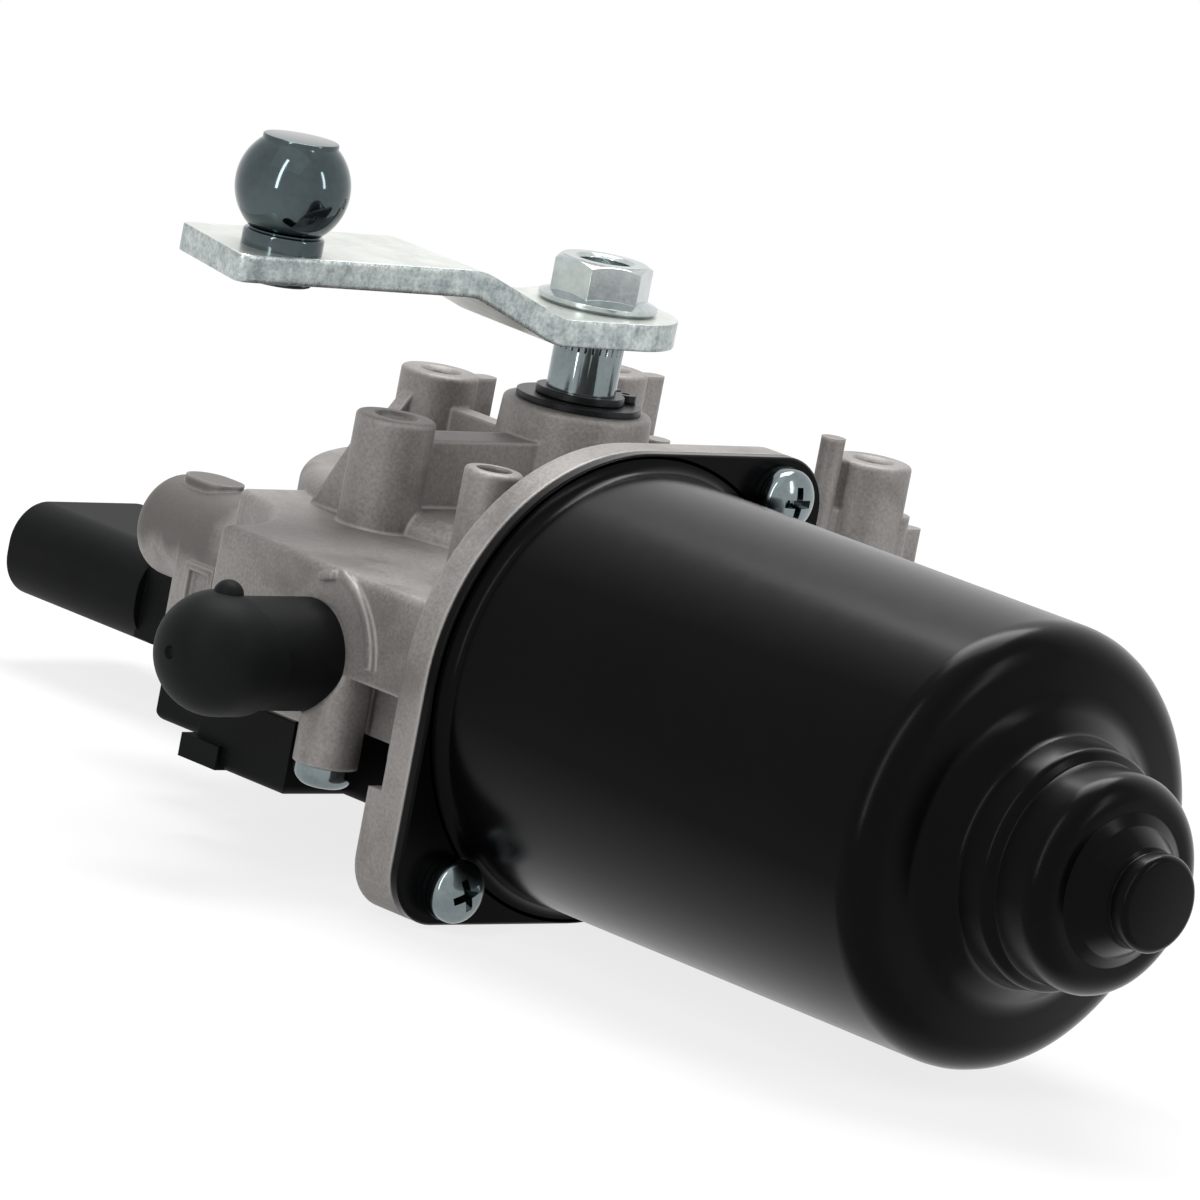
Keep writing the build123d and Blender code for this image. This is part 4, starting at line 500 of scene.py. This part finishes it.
def lathe_tree():
    """Geometry Nodes tree that turns an outline into a solid of revolution about X."""
    tree = new_tree("lathe", {"Outline": "Object", "Steps Round": "Int", "Finish": "Material"})
    given = add(tree, "NodeGroupInput").outputs
    around = given["Steps Round"]
    outline = add(tree, "GeometryNodeObjectInfo", {"Object": given["Outline"]}).outputs["Geometry"]
    size = add(tree, "GeometryNodeAttributeDomainSize", {"Geometry": outline})
    rows = size.outputs["Point Count"]
    columns = add(tree, "ShaderNodeMath", {0: around, 1: 1.0}, operation="ADD").outputs[0]
    grid = add(tree, "GeometryNodeMeshGrid", {"Vertices X": rows, "Vertices Y": columns})
    index = add(tree, "GeometryNodeInputIndex").outputs[0]
    share = add(tree, "ShaderNodeMath", {0: index, 1: columns}, operation="DIVIDE").outputs[0]
    row = add(tree, "ShaderNodeMath", {0: share}, operation="FLOOR").outputs[0]
    column = add(tree, "ShaderNodeMath", {0: index, 1: columns}, operation="MODULO").outputs[0]
    turn = add(tree, "ShaderNodeMath", {0: column, 1: math.tau}, operation="MULTIPLY").outputs[0]
    angle = add(tree, "ShaderNodeMath", {0: turn, 1: around}, operation="DIVIDE").outputs[0]
    reading = {"Geometry": outline, "Index": row}
    read = add(tree, "GeometryNodeSampleIndex", reading, data_type="FLOAT_VECTOR")
    tree.links.new(add(tree, "GeometryNodeInputPosition").outputs[0], read.inputs["Value"])
    parts = add(tree, "ShaderNodeSeparateXYZ", {0: read.outputs["Value"]}).outputs
    across = add(tree, "ShaderNodeMath", {0: angle}, operation="COSINE").outputs[0]
    up = add(tree, "ShaderNodeMath", {0: angle}, operation="SINE").outputs[0]
    out_y = add(tree, "ShaderNodeMath", {0: parts["Y"], 1: across}, operation="MULTIPLY").outputs[0]
    out_z = add(tree, "ShaderNodeMath", {0: parts["Y"], 1: up}, operation="MULTIPLY").outputs[0]
    point = add(tree, "ShaderNodeCombineXYZ", {"X": parts["X"], "Y": out_y, "Z": out_z}).outputs[0]
    moved = {"Geometry": grid.outputs["Mesh"], "Position": point}
    swept = add(tree, "GeometryNodeSetPosition", moved).outputs[0]
    merged = add(tree, "GeometryNodeMergeByDistance", {"Geometry": swept, "Distance": weld})
    end_tree(tree, merged.outputs[0], given["Finish"])
    return tree


# %% [markdown]
# A tree runs as a modifier on an empty mesh. Its result is read from the evaluated object
# and kept as a plain mesh, which is then turned to its place, closed, and given faces that
# point outwards. The outline reaches the tree as an object that holds nothing but points. It
# is removed after the baking, because the export would take it for a piece.

# %% Baking a tree
sliver = 0.1e-6  # metres


def grown(name, tree, inputs, place):
    """Plain mesh of a tree's result, put in place, with its faces pointing outwards."""
    carrier = in_scene(name, bpy.data.meshes.new(name + "_seed"))
    modifier = carrier.modifiers.new("Nodes", "NODES")
    modifier.node_group = tree
    for item in tree.interface.items_tree:
        if item.in_out == "INPUT" and item.name in inputs:
            modifier[item.identifier] = inputs[item.name]
    evaluated = carrier.evaluated_get(bpy.context.evaluated_depsgraph_get())
    mesh = bpy.data.meshes.new_from_object(evaluated)
    carrier.modifiers.clear()
    bpy.data.objects.remove(carrier)
    mesh.name = name
    mesh.transform(place)
    work = bmesh.new()
    work.from_mesh(mesh)
    bmesh.ops.remove_doubles(work, verts=work.verts, dist=weld)
    bmesh.ops.dissolve_degenerate(work, edges=work.edges, dist=sliver)
    bmesh.ops.recalc_face_normals(work, faces=work.faces)
    work.to_mesh(mesh)
    work.free()
    smooth(mesh)
    return mesh


def guide_object(name, points, edges=()):
    """Object that only holds points in mm, and lines between them, for a tree to read."""
    mesh = bpy.data.meshes.new(name)
    mesh.from_pydata([[v * MM for v in p] for p in points], list(edges), [])
    return in_scene(name, mesh)


lathe = lathe_tree()


def turned(name, corners, place, finish, steps=96):
    """Mesh of a lathe-turned shape, from its outline in mm along the X axis."""
    guide = guide_object(name + "_outline", [(p.real, p.imag, 0) for p in rounded(corners)])
    mesh = grown(name, lathe, {"Outline": guide, "Steps Round": steps, "Finish": finish}, place)
    bpy.data.objects.remove(guide)
    return mesh


def along_x(y, z):
    """Place for a shape whose axis runs along X through (y, z) in mm."""
    return Matrix.Translation((0, y * MM, z * MM))


def along_z(x, y):
    """Place for a shape whose axis stands up through (x, y) in mm."""
    return Matrix.Translation((x * MM, y * MM, 0)) @ Matrix.Rotation(math.radians(-90), 4, "Y")


# %% [markdown]
# The can is one steel cup: a straight wall, a rounded end, a ring that dips in to the step
# of the bearing pocket, and the small nub over the shaft's end. Its flange is a flat plate
# with two ears, so that part stays a dressed copy of the CAD part, cut off where the cup's
# wall starts.

# %% The motor can
motor_y, motor_z = -35.0, -28.6
flange_face = 51.5
can_front = flange_face + 1.8
can_radius, can_end = 31.4, 137.3
under_flange, flange_lap = 0.05, 2.4
ring_radius, ring_cone = 21.5, 0.8
pocket_step, pocket_face = 146.0, 155.2
pocket_radius, foot_radius, step_radius = 15.5, 17.6, 17.0
nub_root, nub_shoulder, nub_radius, neck_radius = 10.8, 9.2, 6.83, 6.3
shoulder_rise, neck_x, nose = 0.9, 159.4, 162.6
foot_length, step_run, neck_lead, neck_tail = 4.6, 0.8, 0.4, 0.7
can_outline = [
    # The fillet at the flange, with a lap that the flange covers.
    (can_front - under_flange, can_radius + flange_lap, 0), (can_front, can_radius + flange_lap, 0),
    (can_front, can_radius, 1.9),
    # The rounded end of the wall, and the dished ring.
    (can_end, can_radius, 5.0), (can_end + ring_cone, ring_radius, 5.0),
    # The foot and the two steps of the bearing pocket.
    (pocket_step - foot_length, foot_radius, 2.0), (pocket_step, step_radius, 1.2),
    (pocket_step + step_run, pocket_radius, 0.5), (pocket_face, pocket_radius, 3.4),
    # The shoulder of the nub, its necked root and its flat nose.
    (pocket_face, nub_root, 0.4), (pocket_face + shoulder_rise, nub_shoulder, 0.4),
    (neck_x - neck_lead, nub_radius + 0.2, 0.2), (neck_x, neck_radius, 0.2),
    (neck_x + neck_tail, nub_radius, 0.3), (nose, nub_radius, 0.9), (nose, 0, 0),
]
cup = turned("motor_can_cup", can_outline, along_x(motor_y, motor_z), enamel, steps=192)
flange = dressed("motor_can", enamel, edge_mm=0.35, keep=lambda p: p.x < can_front + 0.01)
flange.name = "motor_can_flange"
can = in_scene("motor_can_cup", cup)
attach(can, "housing")
print("cup faces", len(cup.polygons))

# %% [markdown]
# The crank's ball is turned from bar and riveted through the arm. The ball has a flat top
# and a short collar, and it is zinc plated like the arm, which is cut and bent from sheet.
# The arm's flat faces keep the sheet's finish, and its sides show the sheared edge, so each
# face takes one or the other by how far it tilts from level.

# %% Crank, ball and nut
ball_x, ball_y = -0.387, -62.541
pad_z = 21.0
ball_z, ball_top = pad_z + 9.0, pad_z + 15.9
ball_radius, ball_flat, ball_neck = 8.22, 5.45, 5.1
collar_radius, collar_top = 5.83, pad_z + 2.4
rivet_low, rivet_top = 16.2, 17.0
rivet_head, rivet_radius = 5.2, 4.0
side_slope = 0.5


def ball_outline(steps=28):
    """Corners of the ball stud, from its rivet head up to the flat top of the ball."""
    low = math.asin(ball_neck / ball_radius) - math.pi / 2
    high = math.pi / 2 - math.asin(ball_flat / ball_radius)
    arc = [low + (high - low) * k / steps for k in range(steps + 1)]
    head = [(rivet_low, 0, 0), (rivet_low, rivet_head, 0.5), (rivet_top, rivet_head, 0)]
    shank = [(rivet_top, rivet_radius, 0), (pad_z, rivet_radius, 0)]
    collar = [(pad_z, collar_radius, 0), (collar_top, collar_radius, 0.5), (collar_top, ball_neck, 0)]
    ball = [(ball_z + ball_radius * math.sin(a), ball_radius * math.cos(a), 0) for a in arc]
    return head + shank + collar + ball + [(ball_top, ball_flat, 0.25), (ball_top, 0, 0)]


# The ball's dark zinc paints the dark reflections seen in it.
ball = turned("ball_stud_turned", ball_outline(), along_z(ball_x, ball_y), zinc_ball_painted_dark)
piece("ball_stud_turned", ball, "output", "ball_stud", zinc_ball_painted_dark)
arm = dressed("crank_arm", zinc_sheet, edge_mm=0.35)
arm.data.materials.append(zinc_cut)
for face in arm.data.polygons:
    face.material_index = int(abs(face.normal.z) < side_slope)
# The nut's paler zinc paints the light on its flats.
dressed("crank_nut", zinc_nut_painted_light, edge_mm=0.2)
print("ball faces", len(ball.polygons))

# %% [markdown]
# Two pan-head screws hold the can. A head is turned, then a tapered cross is pressed into it,
# which a boolean does: two blades, each a four-sided cone squeezed flat, are cut from the
# head. The tree then sets one screw on each point that it is given, and turns each by a
# different angle, because no two screws stop at the same one.


# %% The screw tree
def screw_tree():
    """Geometry Nodes tree that presses a cross in a turned blank and sets it on points."""
    kinds = {"Blank": "Object", "Places": "Object", "Finish": "Material"}
    for label in ("Top", "Cross Length", "Cross Width", "Cross Foot", "Cross Depth", "Turn Step"):
        kinds[label] = "Float"
    tree = new_tree("cross-head screws", kinds)
    given = add(tree, "NodeGroupInput").outputs
    blank = add(tree, "GeometryNodeObjectInfo", {"Object": given["Blank"]}).outputs["Geometry"]
    places = add(tree, "GeometryNodeObjectInfo", {"Object": given["Places"]}).outputs["Geometry"]
    half_side = math.sqrt(0.5)
    wide, foot = (
        add(tree, "ShaderNodeMath", {0: given[size], 1: half_side}, operation="MULTIPLY").outputs[0]
        for size in ("Cross Length", "Cross Foot")
    )
    cone = add(tree, "GeometryNodeMeshCone", {
        "Vertices": 4, "Radius Bottom": wide, "Radius Top": foot, "Depth": given["Cross Depth"]})
    square = add(tree, "GeometryNodeTransform", {
        "Geometry": cone.outputs["Mesh"], "Rotation": (0, 0, math.radians(45))}).outputs[0]
    sides = {0: given["Cross Width"], 1: given["Cross Length"]}
    thin = add(tree, "ShaderNodeMath", sides, operation="DIVIDE").outputs[0]
    squeeze = add(tree, "ShaderNodeCombineXYZ", {"X": 1.0, "Y": thin, "Z": 1.0}).outputs[0]
    blade = add(tree, "GeometryNodeTransform", {"Geometry": square, "Scale": squeeze}).outputs[0]
    reach = add(tree, "ShaderNodeCombineXYZ", {"X": given["Top"]}).outputs[0]
    aimed = add(tree, "GeometryNodeTransform", {
        "Geometry": blade, "Rotation": (0, math.radians(-90), 0), "Translation": reach}).outputs[0]
    crossed = add(tree, "GeometryNodeTransform", {
        "Geometry": aimed, "Rotation": (math.radians(90), 0, 0)}).outputs[0]
    pressed = {"Mesh 1": blank, "Mesh 2": aimed}
    cut = add(tree, "GeometryNodeMeshBoolean", pressed, operation="DIFFERENCE")
    tree.links.new(crossed, cut.inputs["Mesh 2"])
    turning = {0: add(tree, "GeometryNodeInputIndex").outputs[0], 1: given["Turn Step"]}
    turn = add(tree, "ShaderNodeMath", turning, operation="MULTIPLY").outputs[0]
    spin = add(tree, "ShaderNodeCombineXYZ", {"X": turn}).outputs[0]
    placed = add(tree, "GeometryNodeInstanceOnPoints", {
        "Points": places, "Instance": cut.outputs["Mesh"], "Rotation": spin})
    end_tree(tree, placed.outputs[0], given["Finish"])
    return tree


# %% [markdown]
# The two screws stand opposite each other about the motor's axis, each on a lock washer. The
# blank is the screw before its cross is pressed: a plain shank under a domed head with a
# short straight side.

# %% The can's screws
washer_height = 1.2
screw_seat = can_front + washer_height
screw_reach, screw_angle = 37.6, math.radians(49)
screw_across = screw_reach * math.cos(screw_angle)
screw_up = screw_reach * math.sin(screw_angle)
screw_points = [
    (screw_seat, motor_y + side * screw_across, motor_z + side * screw_up) for side in (1, -1)
]
screw_places = guide_object("screw_places", screw_points)
head_height, head_side, head_radius = 3.6, 1.3, 4.55
cut_clear = 0.05
housing_flange = 4.7
shank_end, shank_radius = flange_face - housing_flange - screw_seat, 2.4
blank_outline = [
    (shank_end, 0, 0), (shank_end, shank_radius, 0.4), (0, shank_radius, 0), (0, head_radius, 0.2),
]
dome_steps = 12
for step in range(dome_steps + 1):
    lean = math.radians(90 * step / dome_steps)
    dome_at = head_side + (head_height - head_side) * math.sin(lean)
    blank_outline.append((dome_at, head_radius * math.cos(lean), 0))
blank = in_scene("screw_blank", turned("screw_blank", blank_outline, Matrix(), zinc, steps=64))
screw_inputs = {
    "Blank": blank, "Places": screw_places, "Finish": zinc, "Top": (head_height + cut_clear) * MM,
    "Cross Length": 5.4 * MM, "Cross Width": 1.25 * MM, "Cross Foot": 2.2 * MM,
    "Cross Depth": 2.2 * MM, "Turn Step": 0.42,
}
screws = grown("can_screws_pan_head", screw_tree(), screw_inputs, Matrix())
piece("can_screws_pan_head", screws, "housing", "can_screws", zinc)
bpy.data.objects.remove(blank)
print("screw faces", len(screws.polygons))

# %% [markdown]
# Under each head lies a split lock washer: one turn of flat spring wire, cut through and
# sprung apart. The brush springs are the same idea with more turns of round wire. So one
# tree makes both, from a wire outline, a number of turns, a radius and a rise.


# %% The coil tree
def coil_tree():
    """Geometry Nodes tree that winds a wire outline in a helix and sets it on points."""
    kinds = {"Wire": "Object", "Places": "Object", "Finish": "Material", "Steps Round": "Int"}
    for label in ("Turns", "Radius", "Rise", "Start"):
        kinds[label] = "Float"
    tree = new_tree("wound wire", kinds)
    given = add(tree, "NodeGroupInput").outputs
    wire = add(tree, "GeometryNodeObjectInfo", {"Object": given["Wire"]}).outputs["Geometry"]
    places = add(tree, "GeometryNodeObjectInfo", {"Object": given["Places"]}).outputs["Geometry"]
    helix = add(tree, "GeometryNodeCurveSpiral", {
        "Resolution": given["Steps Round"], "Rotations": given["Turns"],
        "Start Radius": given["Radius"], "End Radius": given["Radius"], "Height": given["Rise"]})
    upright = add(tree, "GeometryNodeSetCurveNormal", {"Curve": helix.outputs[0]}, mode="Z_UP")
    section = add(tree, "GeometryNodeMeshToCurve", {"Mesh": wire})
    wound = add(tree, "GeometryNodeCurveToMesh", {
        "Curve": upright.outputs[0], "Profile Curve": section.outputs[0], "Fill Caps": True})
    start = add(tree, "ShaderNodeCombineXYZ", {"X": given["Start"]})
    laid = add(tree, "GeometryNodeTransform", {
        "Geometry": wound.outputs[0], "Rotation": (0, math.radians(90), 0),
        "Translation": start.outputs[0]})
    copies = {"Points": places, "Instance": laid.outputs[0]}
    placed = add(tree, "GeometryNodeInstanceOnPoints", copies)
    end_tree(tree, placed.outputs[0], given["Finish"])
    return tree


coil = coil_tree()

# %% [markdown]
# The washer's wire is flat, so its outline is a square loop of four points. The washer is
# wound just short of a full turn, and its small rise opens the split to one side.

# %% Lock washers
loop_of_four = [(0, 1), (1, 2), (2, 3), (3, 0)]
washer_half, wire_half = 1.0, 0.94 / 2
washer_clearance = 0.02
flat_corners = [
    (-washer_half, -wire_half, 0), (washer_half, -wire_half, 0),
    (washer_half, wire_half, 0), (-washer_half, wire_half, 0),
]
flat_wire = guide_object("flat_wire", flat_corners, loop_of_four)
washer_inputs = {
    "Wire": flat_wire, "Places": screw_places, "Finish": zinc, "Steps Round": 60, "Turns": 0.95,
    "Radius": 3.58 * MM, "Rise": 0.22 * MM,
    "Start": (-washer_height + washer_clearance + wire_half) * MM,
}
washers = grown("lock_washers_split", coil, washer_inputs, Matrix())
piece("lock_washers_split", washers, "housing", "lock_washers", zinc)
corner_low = [round(min(v.co[i] for v in washers.vertices) / MM, 2) for i in range(3)]
corner_high = [round(max(v.co[i] for v in washers.vertices) / MM, 2) for i in range(3)]
print("lock washers from", corner_low, "to", corner_high)

# %% [markdown]
# Three coil springs press the brushes on the commutator, at the angles where the brushes
# stand round the motor's axis. The same tree winds each of round wire, and a turn about the
# axis brings it to its brush. The three are joined, because they are one part in the frame.

# %% Brush springs
wire_radius, wire_sides = 0.25, 12
wire_angles = [math.tau * k / wire_sides for k in range(wire_sides)]
round_points = [(wire_radius * math.cos(a), wire_radius * math.sin(a), 0) for a in wire_angles]
round_edges = [(k, (k + 1) % wire_sides) for k in range(wire_sides)]
round_wire = guide_object("round_wire", round_points, round_edges)
one_place = guide_object("one_place", [(0, 0, 0)])
brush_x, brush_back, brush_angles = 59, 21.03, (30, 210, 262)
coil_length, coil_gap = 4.5, 0.03
spring_inputs = {
    "Wire": round_wire, "Places": one_place, "Finish": ground, "Steps Round": 32, "Turns": 5.5,
    "Radius": 2.0 * MM, "Rise": coil_length * MM,
    "Start": (brush_back + wire_radius + coil_gap) * MM,
}
brush_ring = along_x(motor_y, motor_z) @ Matrix.Translation((brush_x * MM, 0, 0))
all_springs = bmesh.new()
for degrees in brush_angles:
    outward = Matrix.Rotation(math.radians(degrees), 4, "X") @ Matrix.Rotation(math.radians(90), 4, "Z")
    spring = grown("brush_spring", coil, spring_inputs, brush_ring @ outward)
    all_springs.from_mesh(spring)
    bpy.data.meshes.remove(spring)
spring_mesh = bpy.data.meshes.new("brush_springs_wound")
all_springs.to_mesh(spring_mesh)
all_springs.free()
spring_mesh.shade_smooth()
piece("brush_springs_wound", spring_mesh, "housing", "brush_springs", ground)
for guide in (screw_places, flat_wire, round_wire, one_place):
    bpy.data.objects.remove(guide)
print("spring faces", len(spring_mesh.polygons))

# %% [markdown]
# The breather's rubber cap is a dome on a short skirt. Its rim is cut low in the middle and
# high under the nub, so it isn't one outline swept round. The lathe makes it with a straight
# rim first, and then each rim point is moved along by how high it stands. The small hollow
# at the tip of the dome is the gate mark, where the mould was filled.

# %% The breather cap
vent_x, vent_z = 24.3, -31.4
cap_radius, cap_bore, tube_end = 8.9, 8.06, 84.15
dome_start, rim_at = 83.3, 79.0
gate_radius, gate_floor, gate_depth = 1.0, 0.7, 0.6
cap_outline = [
    (tube_end, 0, 0), (tube_end, cap_bore, 0), (rim_at, cap_bore, 0), (rim_at, cap_radius, 0.3),
]
cap_steps = 24
dome_end = math.acos(gate_radius / cap_radius)
for step in range(cap_steps + 1):
    lean = dome_end * step / cap_steps
    cap_outline.append((dome_start + cap_radius * math.sin(lean), cap_radius * math.cos(lean), 0))
gate_at = dome_start + cap_radius - gate_depth
cap_outline += [(gate_at, gate_floor, 0), (gate_at, 0, 0)]
cap = turned("vent_cap_moulded", cap_outline, Matrix(), rubber)
rim_dip, rim_rise, rim_heel = -2.0, 3.2, 0.6
rim_curve, rim_edge, rim_crease = 1.5, 0.5, math.radians(40)
nub_out, nub_up, nub_size = 83.2, 8.3, 2.2
moulding = bmesh.new()
moulding.from_mesh(cap)
for vertex in moulding.verts:
    if vertex.co.x < (rim_at + rim_edge) * MM:
        stand = vertex.co.z / (cap_radius * MM)
        climb = rim_rise - rim_dip if stand > 0 else rim_heel - rim_dip
        vertex.co.x += (rim_dip + climb * abs(stand) ** rim_curve) * MM
nub_place = Matrix.Translation((nub_out * MM, 0, nub_up * MM))
bmesh.ops.create_uvsphere(
    moulding, u_segments=32, v_segments=16, radius=nub_size * MM, matrix=nub_place
)
moulding.to_mesh(cap)
moulding.free()
cap.transform(Matrix.Translation((vent_x * MM, 0, vent_z * MM)) @ Matrix.Rotation(math.radians(-90), 4, "Z"))
smooth(cap, rim_crease)
piece("vent_cap_moulded", cap, "housing", "vent_cap", rubber)
print("cap faces", len(cap.polygons))

# %% [markdown]
# Everything else keeps its CAD shape under its own finish. Most of it is inside the motor,
# where a narrow bevel is all that it needs.

# %% The other parts
finishes = {
    "output_bush": bronze, "shaft_seal": seal_rubber, "thrust_washer": oxide,
    "worm_end_bush": bronze, "thrust_pad": acetal, "front_bush": bronze,
    "field_magnets": ferrite, "magnet_clips": oxide, "rear_bush": bronze, "rear_holder": ground,
    "rear_spring_plate": oxide, "nose_pad": acetal, "brush_card": phenolic,
    "brush_holders": brass, "brushes": carbon, "chokes": magnet_wire,
    "cover_gasket": seal_rubber, "contact_carrier": nylon, "park_contacts": brass,
    "lead_strips": tinned, "connector_terminals": tinned, "ground_screw": zinc,
    "vent_tube": rubber, "worm_shaft": ground, "armature_core": core_steel,
    "armature_windings": magnet_wire, "commutator": copper, "output_shaft": zinc,
    "worm_wheel": acetal, "wheel_washer": oxide, "contact_disc": brass, "retaining_ring": oxide,
}
for node, finish in finishes.items():
    dressed(node, finish, edge_mm=0.12)
print("dressed", len(finishes), "more parts")

# %% [markdown]
# The picture was taken from the front right and a little above, with a long lens. The camera
# is placed by its three angles, its distance and the point it looks at. The lens is long
# enough that the far end of the motor is hardly smaller than the near one. The lamps below
# are aimed with the same two angles, so a function turns them into a direction.


# %% Camera
def direction(azimuth, elevation):
    """Direction from the motor, by degrees round it from the front and degrees above it."""
    a, e = math.radians(azimuth), math.radians(elevation)
    return Vector((math.sin(a) * math.cos(e), -math.cos(a) * math.cos(e), math.sin(e)))


view_azimuth, view_elevation, roll = 45.4169, 10.2447, math.radians(10.8259)
back = direction(view_azimuth, view_elevation)
level = direction(view_azimuth + 90, 0)
right = level * math.cos(roll) + back.cross(level) * math.sin(roll)
up = back.cross(level) * math.cos(roll) - level * math.sin(roll)
look_right, look_up, distance = 3.1812, -28.3267, 1604.4816
focal_pixels, frame_pixels, sensor = 11085.716, 1200, 36.0
eye = (right * look_right + up * look_up + back * distance) * MM
camera = in_scene("Camera", bpy.data.cameras.new("Camera"))
camera.matrix_world = Matrix.Translation(eye) @ Matrix((right, up, back)).transposed().to_4x4()
camera.data.sensor_width = sensor
camera.data.lens = focal_pixels / frame_pixels * sensor
camera.data.clip_start, camera.data.clip_end = 0.05, 60
scene.camera = camera
print("eye at", [round(v, 3) for v in eye])

# %% [markdown]
# The motor stands on white paper that ends nowhere in the picture. Paper lit by lamps alone
# would grey with distance, so it also glows where it is looked at. The glow is a little
# weaker under the motor, which leaves room for a soft shadow, and full further away. Rays
# that only carry light from one surface to another don't see it.


# %% Floor
def looked_at(tree):
    """Value that is 1 where a ray shows the surface, straight, mirrored or through, or else 0."""
    rays = add(tree, "ShaderNodeLightPath").outputs
    seen = rays["Is Camera Ray"]
    for kind in ("Is Glossy Ray", "Is Transmission Ray"):
        seen = add(tree, "ShaderNodeMath", {0: seen, 1: rays[kind]}, operation="MAXIMUM").outputs[0]
    return seen


half_floor, floor_gap = 20.0, 0.0005  # metres
floor_z = cad_low.z - floor_gap
floor_corners = [(x * half_floor, y * half_floor, floor_z) for x, y in ((-1, -1), (1, -1), (1, 1), (-1, 1))]
floor_mesh = bpy.data.meshes.new("floor")
floor_mesh.from_pydata(floor_corners, [], [(0, 1, 2, 3)])
floor = in_scene("floor", floor_mesh)
# Uncoated white paper gives an even white without shine.
paper = surface(
    "white paper", "#f4f4f4", "#f7f7f7", cloud_mm=300, grain_mm=20,
    depth_mm=0.01, rough=(0.8, 0.9), IOR=1.3,
)
near, far, near_glow = 0.15, 0.7, 0.8  # metres, metres and a share
sheet = paper.node_tree
spot = add(sheet, "ShaderNodeTexCoord").outputs["Object"]
away = add(sheet, "ShaderNodeVectorMath", {0: spot}, operation="LENGTH").outputs["Value"]
fade = {"Value": away, "From Min": near, "From Max": far, "To Min": near_glow, "To Max": 1.0}
faded = add(sheet, "ShaderNodeMapRange", fade).outputs["Result"]
glowing = {0: faded, 1: looked_at(sheet)}
strength = add(sheet, "ShaderNodeMath", glowing, operation="MULTIPLY").outputs[0]
glow = add(sheet, "ShaderNodeEmission", {"Color": linear("#ffffff"), "Strength": 1.0}).outputs[0]
plain = sheet.nodes["Principled BSDF"].outputs[0]
paper_look = add(sheet, "ShaderNodeMixShader", {0: strength, 1: plain, 2: glow})
sheet.links.new(paper_look.outputs[0], sheet.nodes["Material Output"].inputs["Surface"])
floor_mesh.materials.append(paper)
print("floor at", round(floor_z / MM, 1), "mm")

# %% [markdown]
# The world does the same: the camera and the mirrors on the motor see plain white, while the
# light that it gives to everything is much weaker and slightly cool, as in a white studio.

# %% World
world = bpy.data.worlds.new("studio")
world.use_nodes = True
scene.world = world
sky = world.node_tree
sky.nodes.clear()
ambient = add(sky, "ShaderNodeBackground", {"Color": linear("#f2f5f8"), "Strength": 0.3})
white = add(sky, "ShaderNodeBackground", {"Color": linear("#ffffff"), "Strength": 1.0})
both = add(sky, "ShaderNodeMixShader", {0: looked_at(sky), 1: ambient.outputs[0], 2: white.outputs[0]})
add(sky, "ShaderNodeOutputWorld", {"Surface": both.outputs[0]})
print("world of", len(sky.nodes), "nodes")

# %% [markdown]
# The enamel shows each lamp as a band, so the lamps are placed by where their bands fall. The
# can's straight wall mirrors one narrow ring of directions, and it should stay dark, so no
# strip stands there. The two strips draw thin lights round the can's end and in the ball. A
# wide weak lamp fills the front, and a strong one above and behind lights the upper faces.


# %% Lamps
def lamp(name, azimuth, elevation, away, size, power):
    """Area lamp that looks at the motor's middle, with its size and distance in metres."""
    data = bpy.data.lights.new(name, "AREA")
    data.shape = "RECTANGLE"
    data.size, data.size_y = size
    data.energy = power
    made = in_scene(name, data)
    out = direction(azimuth, elevation)
    made.location = (cad_low + cad_high) / 2 + out * away
    made.rotation_euler = out.to_track_quat("Z", "Y").to_euler()


lamp("key strip", azimuth=14, elevation=28, away=1.2, size=(0.1, 1.3), power=5)
lamp("right strip", azimuth=112, elevation=25, away=1.2, size=(0.1, 0.6), power=2)
lamp("fill", azimuth=20, elevation=60, away=1.3, size=(1.5, 1.1), power=1)
lamp("top", azimuth=225, elevation=74, away=1.3, size=(0.9, 0.7), power=19)

# %% [markdown]
# The picture keeps plain colour handling: no film look, so a hex value renders about as it is written.

# %% Finish
scene.view_settings.view_transform = "Standard"
